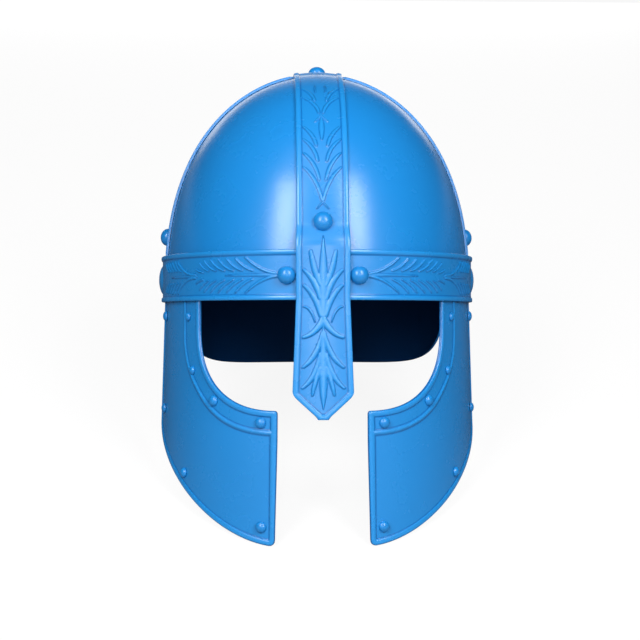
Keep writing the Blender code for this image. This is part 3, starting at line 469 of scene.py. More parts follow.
# %% [markdown]
# ## The centre band and its nasal
# One strip runs from the pointed nasal over the brow and the crown down to the nape. It
# steps up over the brow band and again over the other band at the top, and a smith would
# call each step a joggle. Its outline narrows to the nasal's point, with the two shoulders
# a little rounded. Drawn flat, all of this is two short functions of the length along the
# strip: how high it runs and how wide it is.

# %% The strip's run and outline
LAYER_GAP = 0.00032
BAND_HALF_WIDTH = 0.0155
BAND_THICKNESS = 0.00102
BAND_RIM_WIDTH = 0.0030
BAND_RIM_HEIGHT = 0.0009
CROSS_HALF_WIDTH = 0.0160
CROSS_THICKNESS = 0.0011
JOGGLE_RUN = 0.0160
CROSSING_RUN = 0.0090
BROW_THICKNESS = 0.0011
BROW_RIM_WIDTH = 0.0027
BROW_RIM_HEIGHT = 0.0009
NASAL_DROP = 0.0710
NASAL_HALF_WIDTH = 0.0172
NASAL_CORNER = 0.0145
NASAL_SHOULDER = NASAL_DROP - NASAL_CORNER
SHOULDER_SOFTENING = (-2.4, -1.2, 0, 1.2, 2.4)
NASAL_TIP_HALF_WIDTH = 0.0022
NASAL_LEAN_DEG = 2.0
BROW_FRONT = CROWN_HALF_LENGTH + LAYER_GAP + BROW_THICKNESS + BROW_RIM_HEIGHT


def centre_lift(arc):
    """How far the strip's inner face is off the dome."""
    from_end = np.where(arc <= face_to_nape.quarter, arc, 2 * face_to_nape.quarter - arc)
    reach, _ = face_to_nape.spot(arc)
    over_brow = BROW_FRONT + LAYER_GAP - np.minimum(reach, CROWN_HALF_LENGTH)
    brow_end = BROW_HEIGHT + 2 * LAYER_GAP
    down = ease(from_end, brow_end, brow_end + JOGGLE_RUN)
    lift = over_brow + (LAYER_GAP - over_brow) * down
    cross_end = CROSS_HALF_WIDTH + 3 * LAYER_GAP
    rise = 1 - ease(face_to_nape.quarter - from_end, cross_end, cross_end + CROSSING_RUN)
    nose = np.maximum(-arc, 0) * math.tan(math.radians(NASAL_LEAN_DEG))
    return lift + (CROSS_THICKNESS + LAYER_GAP) * rise + nose


def centre_half_width(arc):
    """The outline's half width, averaged over a few millimetres to round the shoulders."""
    widths = [np.interp(-arc + step * MM, [0, NASAL_SHOULDER, NASAL_DROP],
                        [BAND_HALF_WIDTH, NASAL_HALF_WIDTH, NASAL_TIP_HALF_WIDTH])
              for step in SHOULDER_SOFTENING]
    return sum(widths) / len(widths)


def centre_edge_distance(arc, across):
    """How far a point of the strip is from its outline, the pointed end included."""
    straight = np.interp(-arc, [0, NASAL_SHOULDER], [BAND_HALF_WIDTH, NASAL_HALF_WIDTH])
    narrowing = NASAL_HALF_WIDTH - NASAL_TIP_HALF_WIDTH
    slant = math.hypot(narrowing, NASAL_CORNER)
    to_corner = ((arc + NASAL_DROP) * narrowing
                 - (np.abs(across) - NASAL_TIP_HALF_WIDTH) * NASAL_CORNER) / slant
    return np.minimum(np.minimum(straight - np.abs(across), to_corner), arc + NASAL_DROP)


print("nasal:", NASAL_DROP / MM, "mm below the brow,", 2 * NASAL_HALF_WIDTH / MM, "mm wide")

# %% [markdown]
# ## Leaves of the nasal and of the centre band
# The nasal carries a palm leaf that opens upward, a rolled bar under it and a second leaf
# that hangs down. Above the front stud climbs a longer frond of fine, one-sided strokes:
# sharp below and fading above. Each stroke is given in millimetres, as places along and
# across the strip, for one side only. Its twin is mirrored.

# %% Draw the strokes
PALM = [
    # root, bend, tip, half widths at root, belly and tip
    ((9.0, 1.8), (18.0, 5.4), (28.4, 7.0), (1.1, 2.3, 1.0)),
    ((1.0, 1.8), (12.0, 4.4), (17.6, 10.8), (1.2, 2.0, 0.9)),
    ((-9.0, 1.4), (3.0, 4.2), (8.6, 10.8), (1.3, 2.0, 0.9)),
    ((-13.0, 4.7), (-4.5, 6.5), (-3.9, 10.9), (0.3, 1.0, 0.5)),
    ((-19.0, 0.8), (-33.0, 2.6), (-39.8, 11.3), (0.6, 2.3, 0.8)),
    ((-32.0, 1.8), (-46.0, 4.0), (-52.0, 11.6), (1.0, 2.0, 0.8)),
    ((-40.0, 1.6), (-49.0, 5.0), (-56.3, 6.1), (1.0, 1.7, 0.6)),
]
ROLLED_BAR = ((-12.0, 0.2), (-20.5, 5.0), (-22.0, 11.0), (2.1, 1.5, 1.0))
STEMS = [
    ((-9.0, 0.0), (14.0, 0.0), (37.7, 0.0), (2.4, 3.7, 0.15)),
    ((-14.5, 0.0), (-30.0, 0.0), (-44.0, 0.0), (0.3, 1.6, 3.2)),
    ((-38.0, 0.0), (-52.0, 0.0), (-64.6, 0.0), (1.6, 3.2, 0.15)),
    ((101.0, 0.0), (110.0, 0.0), (119.0, 0.0), (0.4, 2.7, 0.5)),
]
FROND = [
    ((60.0, 0.9), (72.5, 3.6), (81.0, 11.2), (0.35, 0.6, 0.25)),
    ((73.0, 2.5), (83.0, 4.4), (90.9, 11.2), (0.35, 0.6, 0.25)),
    ((85.7, 3.2), (94.5, 5.0), (101.1, 11.2), (0.35, 0.6, 0.25)),
    ((96.7, 3.9), (104.5, 5.6), (111.1, 11.1), (0.35, 0.6, 0.25)),
    ((123.6, 1.8), (133.0, 3.6), (140.5, 11.2), (0.35, 0.6, 0.25)),
    ((136.5, 4.2), (145.5, 6.0), (152.3, 11.2), (0.35, 0.6, 0.25)),
]
FINE_LINES = [
    ((58.6, 0.0), (56.5, 1.8), (54.8, 3.4), (0.5, 0.5, 0.4)),
    ((120.5, 0.0), (118.0, 1.8), (115.5, 3.8), (0.5, 0.5, 0.3)),
    ((146.0, 3.0), (151.0, 3.4), (156.0, 3.1), (0.3, 0.6, 0.3)),
]
SOFT_SIDE = 3.6

leaves = [stroke(*row) for row in PALM + FINE_LINES]
leaves += [stroke(*row, soft=(1.0, SOFT_SIDE)) for row in FROND]
leaves += [mirrored(leaf) for leaf in leaves]
leaves += [stroke(*row) for row in STEMS]
bar = stroke(*ROLLED_BAR)
print("strokes on the centre band:", len(leaves) + 2)

# %% [markdown]
# ## Roll out the centre band
# The grid is finest where the carving is, about a third of a millimetre, and opens up over
# the plain stretches, so that the points go where they show.

# %% The strip as a mesh
LEAF_CREST = 0.0009
BAR_CREST = 0.0012
INNER_COLUMNS = np.array([-1, -0.55, 0, 0.55, 1])


def steps(*stops):
    """Places along a strip from pairs of (up to, spacing), after the first stop."""
    places = [stops[0]]
    for end, spacing in stops[1:]:
        count = max(1, round((end - places[-1]) / spacing))
        places += list(np.linspace(places[-1], end, count + 1)[1:])
    return np.array(places)


full = 2 * face_to_nape.quarter
arc = steps(-NASAL_DROP, (-0.0704, 0.15 * MM), (0.046, 0.31 * MM), (0.160, 0.42 * MM),
            (face_to_nape.quarter, 1.1 * MM), (full, 1.5 * MM))[:, None]
share = columns_from(BAND_HALF_WIDTH, 0.36 * MM) / BAND_HALF_WIDTH
across = share * centre_half_width(arc)
edge = centre_edge_distance(arc, across)
carving, clear = press(arc + 0 * across, across, leaves, LEAF_CREST)
rolled, beside_bar = press(arc + 0 * across, across, [bar, mirrored(bar)], BAR_CREST)
border = rim(edge, BAND_RIM_WIDTH, BAND_RIM_HEIGHT)
raised = np.maximum(np.maximum(border, carving), rolled)
clear = np.minimum(np.minimum(clear, beside_bar), edge - BAND_RIM_WIDTH - RIM_SLOPE)
lift = centre_lift(arc)
outer = face_to_nape.wrap(arc, across, lift + BAND_THICKNESS + raised)
inner = face_to_nape.wrap(arc, INNER_COLUMNS * centre_half_width(arc), lift)
# The band's points carry painted shade at slope feet and a painted highlight on crests.
mesh = sheet("centre_band", outer, inner, painted_shade_and_highlight=shade(raised, LEAF_CREST, clear))
fit("carved_centre_band", mesh, "centre_band", [blue_with_painted_shade, inside_painted_shade])
print("centre band:", len(mesh.polygons), "faces")

# %% [markdown]
# ## The band from ear to ear
# The second band is the same strip without leaves. It is bent tight to the dome, its ends
# go behind the brow band and its middle passes under the centre band, where its rim is left
# off so that the two lie flat on each other.

# %% Wrap the transverse band
CROSS_RIM_WIDTH = 0.0030
CROSS_RIM_HEIGHT = 0.0007

full = 2 * ear_to_ear.quarter
brow_end = BROW_HEIGHT + 2 * LAYER_GAP
crossing = BAND_HALF_WIDTH + 4 * LAYER_GAP
arc = steps(PLATE_FOOT, (full - PLATE_FOOT, 1.5 * MM))[:, None]
across = columns_from(CROSS_HALF_WIDTH, 0.9 * MM)[None, :]
from_end = np.minimum(arc, full - arc)
free = (ease(from_end, brow_end, brow_end + 2 * RIM_SLOPE)
        * (1 - ease(from_end, ear_to_ear.quarter - crossing - 2 * RIM_SLOPE,
                    ear_to_ear.quarter - crossing)))
border = rim(CROSS_HALF_WIDTH - np.abs(across), CROSS_RIM_WIDTH, CROSS_RIM_HEIGHT * free)
outer = ear_to_ear.wrap(arc, across, LAYER_GAP + CROSS_THICKNESS + border)
inner = ear_to_ear.wrap(arc, np.linspace(-1, 1, 5) * CROSS_HALF_WIDTH, LAYER_GAP)
mesh = sheet("transverse_band", outer, inner)
fit("painted_transverse_band", mesh, "transverse_band", [blue_plain, inside_painted_shade])
print("transverse band:", len(mesh.polygons), "faces")

# %% [markdown]
# ## The brow band
# A ring holds all the plates together. It has a rounded rim along both edges, a low oval
# boss over each ear, and in front a frond that grows from each stud towards the ear, with a
# second one before the boss. The ring is drawn flat too: the length round the head and the
# height. Only the front half is carved, and there the grid is fine.

# %% Strokes and bosses round the brow
BROW_HALF_WIDTH = CROWN_HALF_WIDTH + 2 * LAYER_GAP + CROSS_THICKNESS + BROW_THICKNESS
BROW_HALF_LENGTH = CROWN_HALF_LENGTH + LAYER_GAP + BROW_THICKNESS
BROW_RADIUS = (BROW_HALF_WIDTH + BROW_HALF_LENGTH) / 2
EAR_BOSS_HALF_LENGTH = 0.0150
EAR_BOSS_HALF_HEIGHT = 0.0098
EAR_BOSS_HEIGHT = 0.0028
EAR_BOSS_FULLNESS = 0.7
STALK_CREST = 0.55 * LEAF_CREST
BROW_FROND = [
    # root, bend, tip, half widths; along from the face's middle, and up from the band's middle
    ((28.5, -0.8), (39.5, -1.2), (51.0, -10.6), (0.7, 1.0, 0.35)),
    ((46.0, -2.6), (53.0, -4.6), (58.4, -10.4), (0.35, 1.0, 0.35)),
    ((53.3, -2.7), (60.0, -4.6), (65.2, -10.2), (0.35, 1.0, 0.35)),
    ((60.2, -2.8), (67.0, -4.6), (72.2, -10.2), (0.35, 1.0, 0.35)),
    ((67.1, -2.8), (73.8, -4.6), (78.8, -10.0), (0.35, 1.0, 0.35)),
    ((74.0, -2.9), (80.2, -4.6), (84.6, -9.6), (0.35, 0.9, 0.35)),
    ((80.4, -2.9), (85.6, -4.4), (89.2, -8.4), (0.3, 0.8, 0.3)),
    ((85.6, -2.2), (89.6, -2.8), (92.8, -4.4), (0.3, 0.7, 0.3)),
    ((93.5, -1.0), (106.0, -0.6), (115.4, -10.4), (0.6, 1.0, 0.35)),
    ((111.0, -3.4), (115.6, -5.2), (119.4, -10.4), (0.35, 0.9, 0.35)),
    ((116.2, -3.6), (120.6, -5.4), (124.2, -10.2), (0.35, 0.9, 0.35)),
    ((121.4, -3.8), (125.6, -5.6), (129.0, -10.0), (0.35, 0.9, 0.35)),
    ((126.6, -3.8), (130.6, -5.6), (133.8, -9.8), (0.35, 0.9, 0.35)),
    ((131.6, -3.8), (135.4, -5.4), (138.4, -9.2), (0.3, 0.8, 0.3)),
]
BROW_STEMS = [
    ((27.0, 0.0), (44.0, 0.0), (66.0, 0.0), (1.1, 0.9, 0.3)),
    ((92.0, 0.0), (108.0, 0.0), (126.0, 0.0), (0.6, 0.9, 0.3)),
]
leaves = [stroke(*row) for row in BROW_FROND]
leaves += [mirrored(leaf) for leaf in leaves]
stems = [stroke(*row) for row in BROW_STEMS]
print("strokes on each side of the brow:", len(leaves) + len(stems))

# %% The ring as a mesh
carved_end = math.radians(98)
carved_places = steps(-carved_end, (carved_end, 0.46 * MM / BROW_RADIUS))
plain_places = steps(carved_end, (2 * math.pi - carved_end, 2.2 * MM / BROW_RADIUS))[1:-1]
azimuth = np.concatenate([carved_places, plain_places])[:, None]
up = columns_from(BROW_HEIGHT / 2, 0.42 * MM)[None, :]
along = np.abs(azimuth * BROW_RADIUS) + 0 * up
level = up + 0 * azimuth
carving, clear = press(along, level, leaves, LEAF_CREST)
stalk, beside_stalk = press(along, level, stems, STALK_CREST)
ear = ((np.abs(azimuth) - math.pi / 2) * BROW_RADIUS / EAR_BOSS_HALF_LENGTH) ** 2
ear = np.minimum(ear, ((np.abs(azimuth - math.pi) - math.pi / 2) * BROW_RADIUS
                       / EAR_BOSS_HALF_LENGTH) ** 2)
oval = np.clip(1 - ear - (up / EAR_BOSS_HALF_HEIGHT) ** 2, 0, 1)
boss = EAR_BOSS_HEIGHT * oval ** EAR_BOSS_FULLNESS
border = rim(BROW_HEIGHT / 2 - np.abs(up), BROW_RIM_WIDTH, BROW_RIM_HEIGHT) + 0 * azimuth
raised = np.maximum(np.maximum(border, boss), np.maximum(carving, stalk))
clear = np.minimum(np.minimum(clear, beside_stalk),
                   BROW_HEIGHT / 2 - np.abs(up) - BROW_RIM_WIDTH - RIM_SLOPE)
outer = wall(azimuth, BROW_HEIGHT / 2 + up, BROW_HALF_WIDTH, BROW_HALF_LENGTH, raised)
inner = wall(azimuth, np.linspace(0, BROW_HEIGHT, 3)[None, :], BROW_HALF_WIDTH,
             BROW_HALF_LENGTH, -BROW_THICKNESS)
# The ring's points carry painted shade at slope feet and a painted highlight on crests.
mesh = sheet("brow_band", outer, inner, closed=True,
             painted_shade_and_highlight=shade(raised, BROW_RIM_HEIGHT, clear))
fit("carved_brow_band", mesh, "brow_band", [blue_with_painted_shade, inside_painted_shade])
print("brow band:", len(mesh.polygons), "faces")

# %% [markdown]
# ## Cheek plates
# Each cheek plate hangs from behind the brow band, cut away round the eye and swept back
# under the jaw. Its border runs all round, and a low bead follows the eye opening a finger's
# breadth in. A flat outline could be filled and bent, but its grid would cut across the
# border. Here lines are drawn beside the two long edges, at exact distances, so that the
# border and the bead each follow a row of points. Plate and edges are drawn on the flat, as
# length round the head and height, and are then wrapped to the flared wall.

# %% Edges of the plate
SKIRT_TOP = 0.0080
SKIRT_THICKNESS = 0.0014
SKIRT_RIM_HEIGHT = 0.0008
SKIRT_RIM_WIDTH = 0.0032
SKIRT_HALF_WIDTH = BROW_HALF_WIDTH - BROW_THICKNESS - LAYER_GAP - SKIRT_RIM_HEIGHT
SKIRT_HALF_LENGTH = BROW_HALF_LENGTH - BROW_THICKNESS - LAYER_GAP - SKIRT_RIM_HEIGHT
SKIRT_RADIUS = (SKIRT_HALF_WIDTH + SKIRT_HALF_LENGTH) / 2
CHEEK_FRONT_TOP = 0.0273
CHEEK_FRONT_FOOT = 0.0290
CHEEK_REAR = math.radians(83)
CHEEK_FLARE = math.tan(math.radians(1.78))
EYE_SIDE = 0.0755
EYE_BEND_HEIGHT = -0.0150
EYE_FLOOR = -0.0664
EYE_FULLNESS = 2.5
JAW_BEND_HEIGHT = -0.0800
JAW_FLOOR = -0.14743
JAW_FULLNESS = 1.7
NEAR_EDGE = np.array([0, 0.08, 0.2, 0.35, 0.55, 0.9, 1.4, 2.0, 2.6, 2.9, 3.2, 3.4, 3.6, 3.8,
                      4.1, 4.6, 6.0]) * MM


def flared(height):
    return SKIRT_HALF_WIDTH - CHEEK_FLARE * np.minimum(height, 0)


def skirt(spots, lift, flare=True):
    """Wrap flat places (length, height) to the hanging plates' wall."""
    half_width = flared(spots[..., 1]) if flare else SKIRT_HALF_WIDTH
    azimuth = spots[..., 0] / SKIRT_RADIUS
    return wall(azimuth, spots[..., 1], half_width, SKIRT_HALF_LENGTH, lift)


def bent_edge(front, side, bend_height, floor, fullness, side_azimuth):
    """Down the side, round the bend and level to the front, as (length, height)."""
    heights = np.concatenate([[SKIRT_TOP], np.linspace(0, bend_height, 15)])
    spots = [(side_azimuth(height), height) for height in heights]
    run = side - front
    last = math.acos((NEAR_EDGE[-1] / run) ** (fullness / 2))
    share = np.cos(np.linspace(0, last, 64)[1:-1]) ** (2 / fullness)
    share = np.concatenate([share, NEAR_EDGE[::-1] / run])
    height = bend_height - (bend_height - floor) * (1 - share ** fullness) ** (1 / fullness)
    azimuth = np.arcsin((front + run * share) / flared(height))
    spots = np.concatenate([np.array(spots), np.stack([azimuth, height], -1)])
    return spots * [SKIRT_RADIUS, 1]


def beside(edge, distance, towards):
    """The edge moved square to itself, to the side where another edge lies."""
    run = np.gradient(edge, axis=0)
    run[0] = edge[1] - edge[0]
    run[-1] = edge[-1] - edge[-2]
    square = np.stack([-run[:, 1], run[:, 0]], -1) / np.linalg.norm(run, axis=1)[:, None]
    square *= np.sign(np.sum(square * (towards - edge), 1))[:, None]
    return edge + square * distance


jaw_side = flared(JAW_BEND_HEIGHT) * math.sin(CHEEK_REAR)
eye_edge = bent_edge(CHEEK_FRONT_TOP, EYE_SIDE, EYE_BEND_HEIGHT, EYE_FLOOR, EYE_FULLNESS,
                     lambda height: math.asin(EYE_SIDE / flared(height)))
jaw_edge = bent_edge(CHEEK_FRONT_FOOT, jaw_side, JAW_BEND_HEIGHT, JAW_FLOOR, JAW_FULLNESS,
                     lambda height: CHEEK_REAR)
print("cheek plate:", len(eye_edge), "places along each edge")

# %% Rows from the eye to the jaw
FAR = 1.0
LEAD_IN_ROWS = np.array([7.5, 9, 10]) * MM
BEAD_ROWS = np.linspace(10.6, 19.4, 30) * MM
LEAD_OUT_ROWS = np.array([20.4]) * MM
FIELD_ROWS = 24

from_eye = np.concatenate([NEAR_EDGE, LEAD_IN_ROWS, BEAD_ROWS, LEAD_OUT_ROWS])
rows = [beside(eye_edge, distance, jaw_edge) for distance in from_eye]
jaw_rows = [beside(jaw_edge, distance, eye_edge) for distance in NEAR_EDGE[::-1]]
middle_rows = [rows[-1] + (jaw_rows[0] - rows[-1]) * share
               for share in np.linspace(0, 1, FIELD_ROWS + 2)[1:-1]]
spots = np.stack(rows + middle_rows + jaw_rows, 1)
to_eye = np.concatenate([from_eye, np.full(len(middle_rows) + len(jaw_rows), FAR)])
to_jaw = np.concatenate([np.full(len(rows) + len(middle_rows), FAR), NEAR_EDGE[::-1]])
to_front = np.full(len(eye_edge), FAR)
to_front[-len(NEAR_EDGE):] = NEAR_EDGE[::-1]
edge = np.minimum(np.minimum(to_eye, to_jaw)[None, :], to_front[:, None])
print("cheek plate: a grid of", spots.shape[0], "by", spots.shape[1], "places")

# %% [markdown]
# ## Rounded front corners
# A smith files the plate's two front corners round, so that they don't catch. Cutting them
# off would break the grid. Here every place near a corner is drawn in instead, by just what
# a quarter circle needs, and keeps its known distance to the outline, so the border goes
# round the corner too.

# %% Draw the corners in
CHEEK_JAW_CORNER = 0.0034
CHEEK_EYE_CORNER = 0.0018
TINY = 1e-9


def round_corner(spots, from_front, from_edge, radius, off_front, off_edge):
    """Draw a square corner in to a quarter circle, away from its front and from its edge."""
    across_front = radius - from_front[:, None] + 0 * from_edge[None, :]
    across_edge = radius - from_edge[None, :] + 0 * from_front[:, None]
    inside = (across_front > 0) & (across_edge > 0)
    keep = (np.maximum(across_front, across_edge)
            / np.maximum(np.hypot(across_front, across_edge), TINY))
    keep = np.where(inside, keep, 1.0)[..., None]
    return spots + (np.array(off_front) * across_front[..., None]
                    + np.array(off_edge) * across_edge[..., None]) * (1 - keep)


spots = round_corner(spots, to_front, to_jaw, CHEEK_JAW_CORNER, (1.0, 0.0), (0.0, 1.0))
spots = round_corner(spots, to_front, to_eye, CHEEK_EYE_CORNER, (1.0, 0.0), (0.0, -1.0))
print("corners rounded to", CHEEK_JAW_CORNER / MM, "and", CHEEK_EYE_CORNER / MM, "mm")

# %% [markdown]
# ## The bead round the eye opening
# The bead is a low, soft roll, which a smith would chase up from behind. It keeps one
# distance from the opening down the side, draws nearer to it below the bend, and dies out
# before the front border. Like the border it is only a height, worked out from how far each
# row is from the eye opening's edge.

# %% Raise border and bead
RIDGE_INSET = 0.0170
RIDGE_DRAW_IN = 0.0038
DRAW_IN_FROM = 0.20
DRAW_IN_TO = 0.45
RIDGE_HALF_WIDTH = 0.0019
RIDGE_HEIGHT = 0.0008
RIDGE_SOFTNESS = 1.5
CHEEK_EDGE_ROUND = 0.0009


def every(spots, step):
    """A coarser grid for the plain inside: each so many columns, and the last one."""
    return spots[:, np.r_[0:spots.shape[1]:step, spots.shape[1] - 1]]


down_edge = np.linspace(0, 1, len(eye_edge))[:, None]
ridge_at = RIDGE_INSET - RIDGE_DRAW_IN * ease(down_edge, DRAW_IN_FROM, DRAW_IN_TO)
from_ridge = np.abs(to_eye[None, :] - ridge_at)
bead = np.clip(1 - (from_ridge / RIDGE_HALF_WIDTH) ** 2, 0, 1) ** RIDGE_SOFTNESS
bead *= ease(edge, 0.6 * SKIRT_RIM_WIDTH, SKIRT_RIM_WIDTH)
raised = np.maximum(rim(edge, SKIRT_RIM_WIDTH, SKIRT_RIM_HEIGHT, CHEEK_EDGE_ROUND),
                    RIDGE_HEIGHT * bead)
clear = np.minimum(edge - SKIRT_RIM_WIDTH - RIM_SLOPE, from_ridge - RIDGE_HALF_WIDTH)
outer = skirt(spots, raised)
inner = skirt(every(spots, 6), -SKIRT_THICKNESS)
for side_name, side in (("left", -1), ("right", 1)):
    node = "cheek_plate_" + side_name
    # The plate's points carry painted shade at the feet of rim and bead and a painted highlight
    # on their crests.
    mesh = sheet(node, outer * [side, 1, 1], inner * [side, 1, 1],
                 painted_shade_and_highlight=shade(raised, SKIRT_RIM_HEIGHT, clear))
    fit("painted_" + node, mesh, node, [blue_with_painted_shade, inside_painted_shade])
print("cheek plates: 2, of", len(mesh.polygons), "faces")

# %% [markdown]
# ## The neck guard
# A plate round the nape, with a level lower edge and rounded corners behind the ears.
# It is drawn like the cheek plates: rows beside its lower edge, then plain rows up to the
# top, which hides behind the brow band.

# %% Rows of the neck guard
NECK_HALF_SPAN = math.radians(66)
NECK_DROP = 0.0442
NECK_SIDE_FULLNESS = 6.0
NECK_CROWDING = 1.35
NECK_TOP_INSET = 0.0128
NECK_EDGE_ROWS = NEAR_EDGE[:-2]
NECK_FIELD_ROWS = 14
NECK_PLACES = 161

half_span = NECK_HALF_SPAN * SKIRT_RADIUS
share = np.linspace(-1, 1, NECK_PLACES)
spread = np.sign(share) * (1 - (1 - np.abs(share)) ** NECK_CROWDING)
drop = NECK_DROP * np.sqrt(np.clip(1 - np.abs(spread) ** NECK_SIDE_FULLNESS, 0, 1))
low_edge = np.stack([spread * half_span, -drop], -1)
top_edge = np.stack([spread * (half_span - NECK_TOP_INSET),
                     np.full(len(share), SKIRT_TOP)], -1)
low_edge = np.vstack([[-half_span, SKIRT_TOP], low_edge, [half_span, SKIRT_TOP]])
top_edge = np.vstack([[-half_span + SKIRT_TOP, SKIRT_TOP], top_edge,
                      [half_span - SKIRT_TOP, SKIRT_TOP]])
rows = [beside(low_edge, distance, top_edge) for distance in NECK_EDGE_ROWS]
rows += [rows[-1] + (top_edge - rows[-1]) * share
         for share in np.linspace(0, 1, NECK_FIELD_ROWS + 1)[1:]]
spots = np.stack(rows, 1)
to_edge = np.concatenate([NECK_EDGE_ROWS, np.full(NECK_FIELD_ROWS, FAR)])
raised = rim(to_edge, SKIRT_RIM_WIDTH, SKIRT_RIM_HEIGHT)[None, :] + 0 * spots[..., 0]
half_turn = np.array([-1, -1, 1])
outer = skirt(spots, raised, flare=False) * half_turn
inner = skirt(every(spots, 4), -SKIRT_THICKNESS, flare=False) * half_turn
clear = to_edge[None, :] - SKIRT_RIM_WIDTH - RIM_SLOPE + 0 * raised
# The guard's points carry painted shade at the rim's foot and a painted highlight on its crest.
mesh = sheet("neck_guard", outer, inner, painted_shade_and_highlight=shade(raised, SKIRT_RIM_HEIGHT, clear))
fit("painted_neck_guard", mesh, "neck_guard", [blue_with_painted_shade, inside_painted_shade])
print("neck guard:", len(mesh.polygons), "faces")

# %% [markdown]
# ## Studs and rivets
# A rivet is a round head outside, a shank through the holes and a tail hammered flat inside.
# A sphere would do for the head but not for the rest, so the whole rivet is turned like a
# pot: half its outline is spun round its axis. The heads are full domes, a little flatter
# than half balls, that come down upright to the metal.

# %% Turn a rivet on its axis
STUD_HEIGHT = 0.0053
STUD_SHANK = 0.0016
RIVET_SHANK = 0.0011
RIVET_RISE = 0.70
TAIL_OVERHANG = 0.0012
TAIL_THICKNESS = 0.0010
TAIL_SHARES = (0.9, 0.6)
FACET_SAG = 0.00045
SEAT = 0.08
HEAD_STEPS = 13
RIVET_FOLD = math.radians(50)


def turned(name, radius, rise, shank, grip, sides):
    """A rivet about Z: its head above 0 and its shank and tail below."""
    angle = np.linspace(math.pi / 2, 0, HEAD_STEPS)
    head = [(radius * math.cos(a), rise * (SEAT + (1 - SEAT) * math.sin(a))) for a in angle]
    tail = shank + TAIL_OVERHANG
    rest = [(radius, 0), (shank, 0), (shank, -grip), (tail, -grip),
            (tail * TAIL_SHARES[0], -grip - TAIL_THICKNESS * TAIL_SHARES[1])]
    outline = np.array(head[1:] + rest)
    turn = np.linspace(0, 2 * math.pi, sides, endpoint=False)
    ring = np.stack([np.cos(turn), np.sin(turn)], -1)
    points = [(0, 0, rise)]
    for r, z in outline:
        points += [(r * c, r * s, z) for c, s in ring]
    points.append((0, 0, -grip - TAIL_THICKNESS))
    faces = []
    for k in range(sides):
        after = (k + 1) % sides
        faces.append((0, 1 + k, 1 + after))
        for i in range(len(outline) - 1):
            row = 1 + i * sides
            faces.append((row + k, row + sides + k, row + sides + after, row + after))
        row = 1 + (len(outline) - 1) * sides
        faces.append((row + after, row + k, len(points) - 1))
    mesh = bpy.data.meshes.new(name)
    mesh.from_pydata(points, [], faces)
    mesh.shade_smooth()
    mesh.set_sharp_from_angle(angle=RIVET_FOLD)
    return mesh


def facing(place, out):
    """A frame at a place whose Z points outward."""
    place = Vector([float(v) for v in np.ravel(place)])
    out = Vector([float(v) for v in np.ravel(out)]).normalized()
    return Matrix.Translation(place) @ out.to_track_quat("Z", "Y").to_matrix().to_4x4()


def off(node, place):
    """How far a place on the helmet is from the middle of a solid's box, in mm."""
    low, high = (Vector(v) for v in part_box(node))
    return round((HELMET @ place.translation - (low + high) / 2).length / MM, 1)


# %% [markdown]
# ## Put the studs in
# Nine large studs: three along the centre band, one low on each side of the other band, and
# four that pin the brow band beside the centre band, in front and behind. Their places come
# from the same rulers as the bands, so each one sits square on its metal.

# %% The nine studs
STUD_RADIUS = 0.0059
STUD_ARC = 0.0467
SIDE_STUD_ARC = 0.0442
BROW_STUD_RADIUS = 0.0055
BROW_STUD_Z = 0.0148
STUD_SIDES = 56

plain_grip = BAND_THICKNESS + PLATE_THICKNESS + 3 * LAYER_GAP + FACET_SAG
apex_grip = plain_grip + CROSS_THICKNESS + LAYER_GAP
apex = face_to_nape.quarter
studs = []
for node, arc_at, grip in (("front_stud", STUD_ARC, plain_grip), ("apex_stud", apex, apex_grip),
                           ("back_stud", 2 * apex - STUD_ARC, plain_grip)):
    lift = centre_lift(np.array(arc_at)) + BAND_THICKNESS + LAYER_GAP
    on_dome = face_to_nape.wrap(arc_at, 0.0, 0.0)
    studs.append((node, facing(face_to_nape.wrap(arc_at, 0.0, lift), crown_normal(on_dome)),
                  STUD_RADIUS, grip))
for node, arc_at in (("left_stud", SIDE_STUD_ARC),
                     ("right_stud", 2 * ear_to_ear.quarter - SIDE_STUD_ARC)):
    on_dome = ear_to_ear.wrap(arc_at, 0.0, 0.0)
    place = ear_to_ear.wrap(arc_at, 0.0, CROSS_THICKNESS + 2 * LAYER_GAP)
    studs.append((node, facing(place, crown_normal(on_dome)), STUD_RADIUS, plain_grip))
stud_side = BAND_HALF_WIDTH + BROW_STUD_RADIUS + 2 * LAYER_GAP
stud_azimuth = math.asin(stud_side / BROW_HALF_WIDTH)
for side_name, side in (("left", -1), ("right", 1)):
    for end_name, azimuth_at in (("front", side * stud_azimuth),
                                 ("back", math.pi - side * stud_azimuth)):
        node = "brow_stud_{}_{}".format(end_name, side_name)
        low, high = (wall(azimuth_at, BROW_STUD_Z, BROW_HALF_WIDTH, BROW_HALF_LENGTH, lift)
                     for lift in (LAYER_GAP, STUD_RADIUS))
        studs.append((node, facing(low, high - low), BROW_STUD_RADIUS,
                      plain_grip + LAYER_GAP))
for node, place, radius, grip in studs:
    mesh = turned(node, radius, STUD_HEIGHT, STUD_SHANK, grip, STUD_SIDES)
    fit("domed_" + node, mesh, node, [blue_plain], place)
    print(node, "is", off(node, place), "mm from its solid's middle")

# %% [markdown]
# ## Put the cheek rivets in
# Eight small rivets dot each cheek plate and follow its two long edges: each has a share of
# the way along one of them, and a distance in. The one in the bend of the eye opening, the
# two in front and the upper rear one are large, the two by the jaw a little smaller, and the
# two beside the eye small. Kept as shares, they move with the plate's outline.

